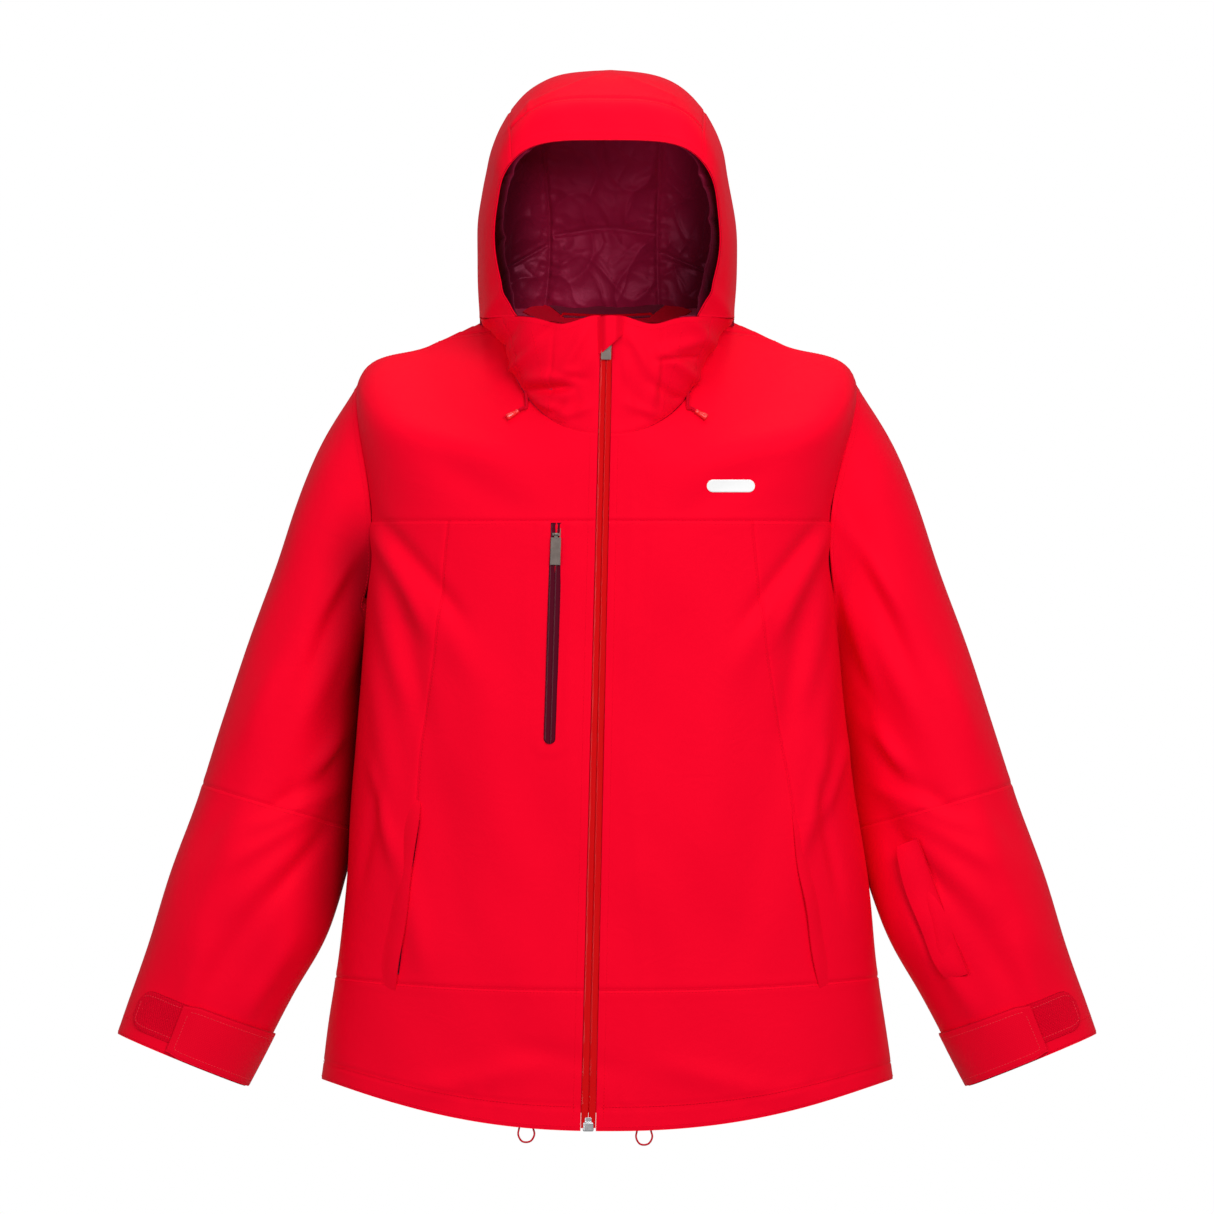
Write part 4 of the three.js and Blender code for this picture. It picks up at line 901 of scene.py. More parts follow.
def make_materials():
    weave_group()
    wrinkle_group()
    braid_group()
    weave, crease, braid = "Plain Weave", "Fine Creases", "Braid"
    red = (0.885, 0.0005, 0.0185)
    warm, wine, ruby = (1.0, 0.06, 0.10), (1.0, 0.3, 0.45), (1.0, 0.22, 0.40)
    shell = dict(specular=0.30, sheen=0.04, tone=0.025, rough_tone=0.08, tint=warm,
                 bumps=[(crease, 26.0, 0.16, 0.002), (weave, 1500.0, 0.10, 0.0002)])
    material("shell_red", red, 0.60, **shell)
    # The shell's red with a painted shadow: a dark band on the wearer's right sleeve beside the torso's side, from z
    # -0.17 to -0.66.
    material("sleeve_red", red, 0.60, **shell, shade=[(-0.214, -0.266, -0.075, 0.66, -0.17, -0.66)])
    material("brim_red", red, 0.54, specular=0.34, sheen=0.05, tone=0.025, rough_tone=0.08, tint=warm,
             bumps=[(crease, 34.0, 0.07, 0.001), (weave, 1500.0, 0.10, 0.0002)])
    material("facing_red", (0.66, 0.002, 0.018), 0.85, specular=0.15, sheen=0.15, tone=0.08, tint=warm,
             bumps=[(weave, 700.0, 0.35, 0.0004), (crease, 50.0, 0.25, 0.002)])
    material("satin_burgundy", (0.38, 0.0075, 0.050), 0.36, specular=0.45, sheen=0.2, tone=0.08, rough_tone=0.1,
             tint=wine,
             bumps=[(crease, 40.0, 0.30, 0.002), (crease, 120.0, 0.10, 0.001), (weave, 1800.0, 0.08, 0.0002)])
    # The hood lining's satin: a brighter base with painted shade, darker at both side walls and towards the bottom,
    # standing in for the shade deep in the hood.
    sides = [(sign * edge, sign * inner, 0.0, 0.80, 0.30, -0.12)
             for sign, edge, inner in ((-1, 0.102, 0.048), (1, 0.100, 0.040))]
    material("hood_satin", (0.62, 0.016, 0.086), 0.38, specular=0.30, sheen=0.12, tone=0.06, rough_tone=0.08,
             tint=ruby,
             bumps=[(crease, 40.0, 0.22, 0.002), (crease, 120.0, 0.08, 0.001), (weave, 1800.0, 0.08, 0.0002)],
             shade=[*sides, (0.2, 1.5, 10.0, 0.52, 0.30, -0.12)])
    material("patch_burgundy", (0.16, 0.004, 0.022), 0.6, specular=0.3, sheen=0.15, tone=0.08, tint=wine,
             bumps=[(weave, 900.0, 0.3, 0.0003)])
    material("laminate_red", (0.60, 0.0003, 0.002), 0.45, specular=0.08, coat=0.36, coat_rough=0.035, tone=0.05,
             rough_tone=0.1, tint=(1.0, 0.08, 0.08), bumps=[(crease, 90.0, 0.06, 0.001)])
    material("laminate_dark", (0.075, 0.0008, 0.010), 0.45, specular=0.05, coat=0.26, coat_rough=0.035, tone=0.08,
             rough_tone=0.1, tint=(1.0, 0.25, 0.35), bumps=[(crease, 90.0, 0.10, 0.001)])
    material("gunmetal", (0.19, 0.155, 0.14), 0.34, metal=0.95, specular=0.5, tone=0.08, rough_tone=0.18,
             bumps=[(crease, 260.0, 0.12, 0.0003)])
    material("silver", (0.62, 0.62, 0.64), 0.3, metal=0.95, specular=0.5, tone=0.05, rough_tone=0.18,
             bumps=[(crease, 260.0, 0.10, 0.0003)])
    material("tab_red", (0.84, 0.0008, 0.018), 0.5, specular=0.35, tone=0.03, rough_tone=0.1, tint=warm,
             bumps=[(weave, 520.0, 0.25, 0.0003)])
    material("loop_red", (0.80, 0.001, 0.018), 0.9, specular=0.1, sheen=0.2, tone=0.08, tint=warm,
             bumps=[(crease, 900.0, 0.7, 0.001), (weave, 420.0, 0.4, 0.0005)])
    thread = dict(specular=0.25, tone=0.04, tint=warm, bumps=[(braid, 1400.0, 0.3, 0.0002)])
    material("thread_red", (0.86, 0.002, 0.022), 0.6, **thread)
    material("thread_light", (0.95, 0.05, 0.08), 0.6, **thread)
    material("cord_red", (0.68, 0.002, 0.02), 0.6, specular=0.3, tone=0.06, tint=warm,
             bumps=[(braid, 420.0, 0.6, 0.0006)])
    material("tip_red", (0.84, 0.018, 0.022), 0.28, specular=0.5, coat=0.3, tone=0.03,
             bumps=[(crease, 120.0, 0.05, 0.0005)])
    material("mark_white", (0.86, 0.86, 0.86), 0.5, specular=0.3, tone=0.02, bumps=[(weave, 1400.0, 0.1, 0.0002)])


# ---- Shared shapes -----------------------------------------------------------------------


def turned(name, rings, ends, uv):
    """Mesh of rings of points, each end closed by a fan to its own point."""
    rows, sides = rings.shape[:2]
    k = np.arange(sides)
    first = np.stack([(k + 1) % sides, k, np.full(sides, rows * sides)], -1)
    last = np.stack([k, (k + 1) % sides, np.full(sides, rows * sides + 1)], -1)
    last = last + np.array([1, 1, 0]) * (rows - 1) * sides
    verts = np.concatenate([rings.reshape(-1, 3), ends])
    return make_object(name, verts, [grid_faces(rows, sides, True), first, last], uv)


def tube(name, path, radius, sides=12):
    """Round tube along a path of points, with rounded ends and real-distance UV."""
    tangent = unit(np.gradient(path, axis=0))
    side = np.zeros_like(path)
    side[0] = unit(np.cross(tangent[0], (0.31, 0.87, 0.38)))
    for i in range(1, len(path)):
        side[i] = unit(side[i - 1] - tangent[i] * np.dot(side[i - 1], tangent[i]))
    other = np.cross(tangent, side)
    turn = np.linspace(0, 2 * math.pi, sides, endpoint=False)
    ring = np.cos(turn)[None, :, None] * side[:, None] + np.sin(turn)[None, :, None] * other[:, None]
    ends = [path[0] - tangent[0] * radius * 0.4, path[-1] + tangent[-1] * radius * 0.4]
    run = run_along(path)
    u, v = np.broadcast_arrays(turn[None, :] * radius, run[:, None])
    uv = np.concatenate([np.stack([u, v], -1).reshape(-1, 2), [[0, run[0]], [0, run[-1]]]])
    return turned(name, path[:, None] + ring * radius, ends, uv)


def curve_through(points, count):
    """Catmull-Rom curve through points, evenly spaced along its length."""
    points = np.asarray(points, float)
    t = np.linspace(0, len(points) - 1, 400)
    fine = np.stack([along(points[:, k], t) for k in range(3)], -1)
    run = run_along(fine)
    even = np.linspace(0, run[-1], count)
    return np.stack([np.interp(even, run, fine[:, k]) for k in range(3)], -1), run[-1]


def lathe(name, start, axis, profile, sides=20, squeeze=1.0):
    """Turned solid: (distance, radius) pairs about an axis from a start point."""
    side = unit(np.cross(axis, (0.0, 1.0, 0.0)))
    other = np.cross(axis, side)
    profile = np.asarray(profile, float)
    turn = np.linspace(0, 2 * math.pi, sides, endpoint=False)
    ring = np.cos(turn)[:, None] * side + np.sin(turn)[:, None] * other * squeeze
    rings = start + profile[:, 0, None, None] * axis + profile[:, 1, None, None] * ring
    ends = [start + axis * profile[0, 0], start + axis * profile[-1, 0]]
    return turned(name, rings, ends, np.concatenate([rings.reshape(-1, 3), ends])[:, [0, 2]])


def on_cloth(surface, u, v, outside, cloth, lift=0.0):
    """Points of a panel's outer face, and its normals, lifted by a distance."""
    base = surface(u, v)
    n = face_normal(surface, u, v, outside)
    return base + n * (cloth(base) + lift)[..., None], n


def stitches(name, lines, material_name="thread_red", body="jacket"):
    """Rows of stitches: each is a short four-sided spindle pressed into the cloth."""
    trim = bpy.context.scene.jacket_trim
    verts, quads = [], []
    count = 0
    for points, normals in lines:
        run = run_along(points)
        centres = np.arange(trim.pitch, run[-1] - trim.pitch, trim.pitch)
        at = lambda d, values: np.stack([np.interp(d, run, values[:, k]) for k in range(3)], -1)
        c = at(centres, points)
        forward = unit(at(centres + 0.5, points) - at(centres - 0.5, points))
        n = unit(at(centres, normals))
        side = np.cross(n, forward)
        shares = np.array((-0.5, -0.3, 0.0, 0.3, 0.5)) * trim.stitch
        radii = np.array((0.25, 0.85, 1.0, 0.85, 0.25)) * trim.thread / 2
        sinks = np.array((-0.7, 0.1, 0.35, 0.1, -0.7)) * trim.thread / 2
        turn = np.linspace(0, 2 * math.pi, 5)[:4] + 0.785
        ring = np.cos(turn)[None, :, None] * side[:, None] + np.sin(turn)[None, :, None] * n[:, None]
        spindle = c[:, None, None] + forward[:, None, None] * shares[None, :, None, None]
        spindle = spindle + ring[:, None] * radii[None, :, None, None] + n[:, None, None] * sinks[None, :, None, None]
        verts.append(spindle.reshape(-1, 3))
        one = grid_faces(5, 4, True)
        ends = np.array([[3, 2, 1, 0], [16, 17, 18, 19]])
        block = np.concatenate([one, ends])
        quads.append((block[None] + (np.arange(len(c)) * 20)[:, None, None]).reshape(-1, 4) + count)
        count += 20 * len(c)
    verts = np.concatenate(verts)
    obj = make_object(name, verts, [np.concatenate(quads)], verts[:, [0, 2]])
    return finish_piece(obj, body, None, material_name)


def surface_line(surface, u, v, outside, cloth, lift=0.12):
    """A line of points on a cloth surface with their normals."""
    u, v = np.broadcast_arrays(np.asarray(u, float), np.asarray(v, float))
    return on_cloth(surface, u, v, outside, cloth, lift)


class Builder(bpy.types.Operator):
    """Common settings of the operators."""

    bl_options = {"REGISTER", "UNDO"}


SIDES = (("left", 1), ("right", -1))


# ---- Camera and cords --------------------------------------------------------------------


class JACKET_OT_camera(Builder):
    """Camera square to the jacket's front"""

    bl_idname = "jacket.camera"
    bl_label = "Camera"

    def execute(self, context):
        stage = context.scene.jacket_stage
        data = bpy.data.cameras.new("front_camera")
        data.lens = stage.lens
        camera = bpy.data.objects.new("front_camera", data)
        context.scene.collection.objects.link(camera)
        distance = stage.cover * data.lens / data.sensor_width
        camera.location = (0.0, -0.2033 - distance, -0.2831)
        camera.rotation_euler = (math.pi / 2, 0.0, 0.0)
        data.clip_end = 100.0
        context.scene.camera = camera
        return {"FINISHED"}


def cord_points(sign):
    """Hood cord: down inside the collar's corner, out at the neck seam and a little way over the yoke."""
    points = []
    for angle, w in ((63, 0.5), (58, 0.3), (53, 0.13)):
        place = sign * np.array(angle * DEG), np.array(w)
        points.append(collar(*place) - normal(collar, *place, body_axis) * 4.4)
    for x, z, lift in ((76.5, -95.5, 0.6), (79.5, -98.0, 2.4), (84.0, -101.0, 2.9)):
        u, v = at_front(torso, sign * np.array([x]), np.array([z]), sign, 0.0, 2.0)
        points.append((torso(u, v) + normal(torso, u, v, body_axis) * lift)[0])
    return points


# Cord tip as (distance, radius), and a hem loop as (x, z) from the hem.
TIP = [(0, 0.6), (0.2, 1.8), (1.0, 2.1), (2.2, 2.1), (2.8, 1.8), (3.4, 1.8), (4.0, 2.2), (7, 2.5), (10, 2.9),
       (12.2, 3.0), (13.0, 2.7), (13.3, 1.8), (13.3, 0.4)]
HEM_LOOP = [(-6, 15), (-6.2, 2), (-7.4, -6), (-4.6, -12), (0, -13.6), (5, -12), (8, -6), (6.4, 2), (6, 15)]


class JACKET_OT_cords(Builder):
    """Hood drawcords with moulded ends, and the two hem drawcord loops"""

    bl_idname = "jacket.cords"
    bl_label = "Cords"

    def execute(self, context):
        for name, sign in SIDES:
            path, length = curve_through(cord_points(sign), 60)
            away = unit(path[-1] - path[-4])
            tip = lathe(f"cord_tip_{name}", path[-1] - away * 0.4, away, TIP, 24, 0.82)
            finish_piece(tip, "jacket", f"hood_cord_end_{name}", "tip_red")
            self.cord(f"hood_{name}", f"hood_cord_{name}", path, length, 3.0, 14, far_end="fitting", with_pieces=[tip])
        for name, x in (("right", -77.0), ("left", 35.0)):
            low, high = node_box(f"hem_cord_{name}")
            top = high[2] - HEM_LOOP[0][1]
            points = [(x + dx, (low[1] + high[1]) / 2, top + dz) for dx, dz in HEM_LOOP]
            path, length = curve_through(points, 64)
            self.cord(f"hem_{name}", f"hem_cord_{name}", path, length, 1.8, 12, far_end="object")
        return {"FINISHED"}

    def cord(self, label, node, path, length, diameter, sides, **facts):
        """Round cord on a path; the facts that say how it hangs are not used."""
        obj = tube(f"drawcord_{label}", path, diameter / 2, sides)
        finish_piece(obj, "jacket", node, "cord_red")


# ---- Shell -------------------------------------------------------------------------------


CHEST_ZIP_TOP, CHEST_ZIP_RUN = -206, 210
CHEST_ZIP_X = (-48.0, -54.5)


def chest_zip_place(p):
    """Distance outside the chest zip's rounded strip, in the front plane."""
    share = np.clip((CHEST_ZIP_TOP - p[..., 2]) / CHEST_ZIP_RUN, 0, 1)
    x = np.abs(p[..., 0] - lerp(*CHEST_ZIP_X, share))
    below = np.maximum(-410.5 - p[..., 2], 0)
    above = np.maximum(p[..., 2] + 204, 0)
    return np.hypot(x, below) - 5.7 + above * 4


def chest_border(p, v):
    """The bonded patch round the chest zip stands a little above the cloth."""
    near = chest_zip_place(p)
    return np.where(p[..., 1] < 0, 0.55 * smooth(13.5, 12.2, near) - 0.9 * bump(near - 0.3, 1.6), 0)


def hem_tunnel(p, v):
    """The stitched hem: a groove where it is sewn, and small puckers of the cloth round it."""
    run = np.arctan2(p[..., 0], -p[..., 1]) * 200
    above = (v - 7.83) * 134
    puckers = np.sin(run / 4.7 + 1.1 * np.sin(run / 13)) * (0.5 + 0.5 * np.sin(run / 31 + 1))
    return -0.75 * bump(above, 1.6) + 0.5 * puckers * bump(above + 3, 9)


class JACKET_OT_torso(Builder):
    """Yokes, front, side, back and hem panels of the shell"""

    bl_idname = "jacket.torso"
    bl_label = "Torso panels"

    def execute(self, context):
        step = context.scene.jacket_shell.step

        def add(name, rows, start, end, seams=(1, 1, 1, 1), extra=None, fine=step):
            made = panel(f"cloth_{name}", torso, rows, start, end, body_axis, body_cloth, seams, step=fine, extra=extra)
            sheet(made, name)

        for name, sign in SIDES:
            edge, seam, side = zip_edge(torso, sign), princess(sign), side_edge(sign, -1)
            border = chest_border if sign < 0 else None
            add(f"front_yoke_{name}", (0, 3), edge, side, (0.4, 1, 1, 1))
            add(f"front_panel_{name}", (3, 7), edge, seam, (0.4, 1, 1, 1), border, 3.6)
            add(f"side_panel_{name}", (3, 7), seam, side)
            add(f"front_hem_panel_{name}", (7, 8), edge, side, (0.4, 0.6, 1, 0.5), hem_tunnel, 3.0)
        add("back_yoke", (0, 3), *BACK_EDGES)
        add("back_panel", (3, 7), *BACK_EDGES)
        add("back_hem_panel", (7, 8), *BACK_EDGES, (0.6, 0.6, 1, 0.5), hem_tunnel, 3.0)
        return {"FINISHED"}


def flat_at_neck(p, w):
    """The folds die out at the neck seam, where the collar is sewn to the yokes."""
    return -hood_cloth(p) * smooth(0.16, 0.0, w)


class JACKET_OT_hood(Builder):
    """Collar fronts, hood base, cheeks, crown and brim"""

    bl_idname = "jacket.hood"
    bl_label = "Hood and collar"

    def execute(self, context):
        start = 48 * DEG
        for name, sign in SIDES:
            made = panel(f"cloth_collar_{name}", collar, (0, 1), zip_edge(collar, sign), fixed(sign * start), body_axis,
                         hood_cloth, (0.4, 0.5, 0.5, 0.3), step=2.0, extra=flat_at_neck)
            sheet(made, f"collar_{name}")
            ends = (0.0, 50 * DEG) if sign > 0 else (math.pi, 130 * DEG)
            made = panel(f"cloth_hood_side_{name}", hood, (0, 7), fixed(ends[0]), fixed(ends[1]), head_centre,
                         hood_cloth, (0, 1, 0.5, 0), step=2.8)
            sheet(made, f"hood_side_{name}")
        made = panel("cloth_hood_base", collar, (0, 1), fixed(start), fixed(2 * math.pi - start), body_axis,
                     hood_cloth, (0.5, 0.5, 0.6, 0), step=2.6, extra=flat_at_neck)
        sheet(made, "hood_base")
        ends = fixed(50 * DEG), fixed(130 * DEG)
        made = panel("cloth_hood_brim", hood, (0, 1), *ends, head_centre, hood_cloth, (0.5, 0.5, 0.5, 1), step=2.6)
        sheet(made, "hood_brim", "brim_red")
        made = panel("cloth_hood_crown", hood, (1, 7), *ends, head_centre, hood_cloth, (1, 1, 1, 0.6), step=3.2)
        sheet(made, "hood_crown")
        return {"FINISHED"}


class JACKET_OT_sleeves(Builder):
    """Upper sleeves and forearms"""

    bl_idname = "jacket.sleeves"
    bl_label = "Sleeves"

    def execute(self, context):
        for name, sign in SIDES:
            surface, axis, cloth = sleeve(sign), arm_axis(sign), sleeve_cloth(sign)
            parts = ("upper_sleeve", (0, 4), (0, 0, 1, 0.8)), ("forearm", (4, 7), (0, 0, 0.8, 0.6))
            for part, rows, seams in parts:
                made = panel(f"cloth_{part}_{name}", surface, rows, fixed(0), fixed(2 * math.pi), axis, cloth, seams,
                             step=3.6, closed=True)
                # The wearer's right sleeve takes the red with the torso's painted shadow.
                sheet(made, f"{part}_{name}", "shell_red" if sign > 0 else "sleeve_red")
        return {"FINISHED"}


# ---- Linings -----------------------------------------------------------------------------


class JACKET_OT_linings(Builder):
    """Body and sleeve linings, and the collar's inner facing"""

    bl_idname = "jacket.linings"
    bl_label = "Linings"

    def execute(self, context):
        step = context.scene.jacket_lining.step
        rows = (0.15, 7.85)

        def add(name, node, *where, seams=(0.3, 0.3, 0.3, 0.3), wave=(40, 0.4), depth=LINING_DEPTH, fine=step, **more):
            made = panel(name, *where, lambda p: unevenness(p, *wave), seams, depth, LINING, fine, **more)
            sheet(made, node, "satin_burgundy")

        for name, sign in SIDES:
            add(f"lining_cloth_front_{name}", f"lining_front_{name}", torso, rows, zip_edge(torso, sign, 4),
                side_edge(sign, -1), body_axis, seams=(0, 0.3, 0.3, 0.3))
            add(f"lining_cloth_sleeve_{name}", f"sleeve_lining_{name}", sleeve(sign), (0.4, 6.9), fixed(0),
                fixed(2 * math.pi), arm_axis(sign), seams=(0, 0, 0, 0), depth=SLEEVE_LINING_DEPTH, closed=True)
        add("lining_cloth_back", "lining_back", torso, rows, *BACK_EDGES, body_axis)
        start = 27 * DEG
        add("facing_cloth_collar", "collar_facing", collar, (0.08, 1.0), fixed(start), fixed(2 * math.pi - start),
            body_axis, seams=(0.4, 0.4, 0.4, 0.4), wave=(26, 0.5), fine=3.2)
        return {"FINISHED"}


QUILT = dict(left=-56.0, right=49.0, bar=72.0)


def quilt_distance(p):
    """Distance to the nearest quilting seam of the hood lining: two upright, one arched across, two at the sides."""
    x, y, z = p[..., 0], p[..., 1], p[..., 2]
    left = np.abs(x - (QUILT["left"] - 0.0012 * (z - 70) ** 2 * (z < 70) - 0.10 * np.maximum(0, z - 90)))
    right = np.abs(x - (QUILT["right"] + 0.0004 * (z - 70) ** 2 * (z < 70) + 0.05 * np.maximum(0, z - 90)))
    across = np.abs(z - (QUILT["bar"] + 8 * bump(x, 46) - 0.00035 * x * x)) + 3 * np.maximum(0, np.abs(x) - 52)
    slope = (z - 64 + (x + 58) * -0.55)
    cheek = np.abs(slope) + 3 * np.maximum(0, x + 56)
    other = np.abs(z - 58 + (x - 50) * 0.42) + 3 * np.maximum(0, 52 - x)
    behind = smooth(0, 30, y)
    back = np.minimum(np.minimum(left, right), np.minimum(across, np.minimum(cheek, other)))
    return back * behind + 40 * (1 - behind)


def hood_quilting(p):
    """Puffs between the seams, with wrinkles that the stitching gathers and that die out away from it."""
    lining = bpy.context.scene.jacket_lining
    d = quilt_distance(p)
    x, z = p[..., 0], p[..., 2]
    puff = lining.puff * (1 - np.exp(-d / 11.0)) * smooth(-14, 14, z)
    gather = np.exp(-d / 17.0) * (1 - np.exp(-d / 2.6))
    pleats = np.sin(z / 2.9 + 1.2 * np.sin(z / 7.3 + 0.4) + x / 16) + 0.7 * np.sin(z / 1.9 + x / 9 + 1.0)
    pleats_across = np.sin(x / 3.1 + 1.1 * np.sin(x / 8.1) + z / 15)
    upright = np.exp(-(np.minimum(np.abs(x - QUILT["left"]), np.abs(x - QUILT["right"])) / 15) ** 2)
    waves = crumple(p, 60.0, 3.0) + crumple(p + 40.0, 27.0, 0.9)
    gathers = gather * 1.1 * (pleats * upright + pleats_across * (1 - upright))
    return -(puff - 1.4 * bump(d, 1.3) + lining.crumple * (gathers + waves * smooth(1, 9, d)))


class JACKET_OT_hood_lining(Builder):
    """Puffy quilted satin inside the hood"""

    bl_idname = "jacket.hood_lining"
    bl_label = "Quilted hood lining"

    def execute(self, context):
        made = panel("quilted_hood_lining", hood, (0.1, 7), fixed(0.0), fixed(180 * DEG), head_centre,
                     hood_quilting, (0, 0, 0.6, 0), depth=HOOD_LINING_DEPTH, thickness=LINING, step=1.9)
        # The hood lining's satin carries painted shade at its side walls and towards the bottom.
        obj = finish_piece(made[0], "jacket", "hood_lining", "hood_satin")
        return {"FINISHED"}


# ---- Zips --------------------------------------------------------------------------------


def strip(name, line, count, share, lift, node, material_name, thickness=1.2):
    """Closed strip: line(t) gives each row's x, z and two borders, share the columns and lift the height."""
    x, z, low, high = line(np.linspace(0, 1, count))
    gx = x[:, None] + low[:, None] + (high - low)[:, None] * share
    gz = z[:, None] * np.ones_like(gx)
    height = lift(gz, share * np.ones_like(gx))
    outer = stack(gx, -FRONT_DEPTH - height, gz)
    inner = outer.copy()
    inner[..., 1] = np.maximum(outer[..., 1] + 0.2, -FRONT_DEPTH + thickness)
    obj = slab(name, outer, inner, np.stack([gx, -gz], -1))
    return finish_piece(obj, "jacket", node, material_name)


def bordered(count):
    """Shares from 0 to 1 with three lines close together at each end."""
    return np.concatenate([[0, 0.03, 0.07], np.linspace(0.12, 0.88, count), [0.93, 0.97, 1.0]])


class JACKET_OT_main_zip(Builder):
    """Laminated two-way front zip with its retainer box and garage"""

    bl_idname = "jacket.main_zip"
    bl_label = "Front zip"

    def execute(self, context):
        across = np.array((0, 0.04, 0.1, 0.2, 0.35, 0.5, 0.6, 0.68, 0.76, 0.84, 0.9, 0.96, 1.0))
        for name, sign in SIDES:
            def line(t, sign=sign):
                """From the neck to the hem, between the zip's middle and its border."""
                z = lerp(-13.0, -781.0, t)
                middle, border = np.full_like(z, 0.12 * sign), sign * zip_half(z)
                return zip_x(z), z, *((middle, border) if sign > 0 else (border, middle))

            def lift(z, share, sign=sign):
                """A flat strip that falls away to its outer border, with small ripples."""
                s = share if sign > 0 else 1 - share
                edge = smooth(0, 0.10, s) * smooth(1.0, 0.93, s)
                waves = 0.16 * np.sin(z / 5.3 + 1.6 * np.sin(z / 41)) + 0.1 * np.sin(z / 17 + 2.1)
                fall = 0.62 * smooth(0.60, 0.94, s) * (1.0 if sign > 0 else 0.3)
                return -0.35 + 0.9 * edge - fall + 0.10 * bump(s - 0.2, 0.2) + waves * (0.15 + 0.5 * s)

            strip(f"zip_laminate_{name}", line, 760, across, lift, f"main_zip_{name}", "laminate_red")
        self.retainer()
        self.garage()
        return {"FINISHED"}

    def retainer(self):
        """Rounded box at the zip's foot, narrower above than below."""
        low, high = node_box("zip_retainer_box")
        middle, half = (low + high) / 2, (high - low) / 2
        z = np.linspace(0, 1, 40)
        shoulder = smooth(0.30, 0.42, z)
        width = half[0] * (0.66 + 0.34 * shoulder)
        width = width * (1 - 0.16 * smooth(0.93, 1.0, z)) * (1 - 0.2 * smooth(0.06, 0.0, z))
        deep = half[1] * (0.72 + 0.28 * shoulder) * (1 - 0.25 * smooth(0.94, 1.0, z))
        turn = np.linspace(0, -2 * math.pi, 36, endpoint=False)
        ring_x, ring_y = signed_power(np.cos(turn), 0.35), signed_power(np.sin(turn), 0.35)
        rings = stack(middle[0] + width[:, None] * ring_x, middle[1] + deep[:, None] * ring_y,
                      (high[2] - z * (high[2] - low[2]))[:, None])
        ends = np.stack([rings[0].mean(0), rings[-1].mean(0)])
        uv = np.concatenate([rings.reshape(-1, 3), ends])[:, [0, 2]]
        obj = turned("retainer_box", rings, ends, uv)
        finish_piece(obj, "jacket", "zip_retainer_box", "silver")

    def garage(self):
        """Cloth flap over the top of the zip, its lower edge cut at a slant."""
        share, rows = bordered(22), bordered(26)
        x = lerp(-9.5, 17.0, share)[None, :] * np.ones((len(rows), 1))
        top = -9.0 - 2.0 * ((x - 3.5) / 13) ** 2
        bottom = np.interp(x, (-9.5, -7.2, -5, 14, 17), (-43.5, -45.6, -45.0, -28.5, -25.5))
        z = lerp(top, bottom, rows[:, None])
        edge = np.minimum(np.minimum(share, 1 - share)[None, :] * 26.5, np.minimum(rows, 1 - rows)[:, None] * 30)
        over = smooth(-10, 0, x) * smooth(17, 7, x)
        reach = -FRONT_DEPTH - node_box("zip_garage")[0][1]
        height = lerp(1.0, reach - 0.2, over) - 0.8 * np.exp(-edge / 1.1) + 0.25 * np.sin(z / 6.0 + x / 8)
        outer = stack(x, -FRONT_DEPTH - height, z)
        inner = stack(x, -FRONT_DEPTH - height + 1.3, z)
        obj = slab("garage_flap", outer, inner, np.stack([x, -z], -1))
        finish_piece(obj, "jacket", "zip_garage", "shell_red")


class JACKET_OT_chest_zip(Builder):
    """Bonded chest zip with a rounded lower end"""

    bl_idname = "jacket.chest_zip"
    bl_label = "Chest zip"

    def execute(self, context):
        half = np.array((0, 0.03, 0.08, 0.16, 0.26, 0.38, 0.46, 0.485))
        share = np.concatenate([half, (0.5, 0.515, 0.54, 0.62, 0.74, 0.84, 0.92, 0.97, 1.0)])

        def line(t):
            """Rows drawn together towards the round end, whose half width is a circle's."""
            run = CHEST_ZIP_RUN * (1 - (1 - t) ** 1.35)
            left = np.clip((run - 204.5) / 5.7, 0, 0.995)
            half = 5.8 * np.sqrt(1 - left**2)
            return lerp(*CHEST_ZIP_X, run / CHEST_ZIP_RUN), CHEST_ZIP_TOP - run, -half, half

        def lift(z, s):
            """A raised strip, grooved in the middle and falling to its bright side."""
            middle = np.abs(s - 0.5) * 2
            body = 1.1 * smooth(1.0, 0.84, middle) - 0.55 * bump(middle, 0.05)
            ripple = 0.06 * np.sin(z / 9 + np.sin(z / 31))
            return body - 0.5 * smooth(0.72, 0.98, s) + 0.2 * bump(middle - 0.45, 0.3) + ripple

        strip("zip_laminate_chest", line, 320, share, lift, "chest_zip", "laminate_dark", 1.6)
        return {"FINISHED"}


def polish_metal():
    """The frame's metal pieces keep their shape; their edges are rounded and they get their metal."""
    for node in ("main_slider", "main_puller", "chest_slider", "chest_puller", "hand_pocket_left_slider",
                 "hand_pocket_right_slider", "sleeve_pocket_slider"):
        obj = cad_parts[node]
        obj.data.materials.clear()
        obj.data.materials.append(bpy.data.materials["gunmetal"])
        rounded = obj.modifiers.new("rounded_edges", "BEVEL")
        rounded.width = 0.00035
        rounded.segments = 3
        rounded.limit_method = "ANGLE"
        rounded.angle_limit = 0.6


# ---- Pockets -----------------------------------------------------------------------------


def node_frame(node):
    """Centre, downward axis, outward axis, axis across and length of a straight zip's CAD solid."""
    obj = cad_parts[node]
    co = np.empty(len(obj.data.vertices) * 3, np.float32)
    obj.data.vertices.foreach_get("co", co)
    world = np.array(obj.matrix_world)
    co = (co.reshape(-1, 3) @ world[:3, :3].T + world[:3, 3]) / MM - SHIFT
    co = np.unique(np.round(co, 2), axis=0)
    centre = co.mean(0)
    down, across, out = np.linalg.svd(co - centre)[2]
    down = down * (1 if down[2] < 0 else -1)
    across = across * (1 if across[0] > 0 else -1)
    out = out * (1 if out[1] < 0 else -1)
    return centre, down, out, across, np.abs((co - centre) @ down).max() * 2


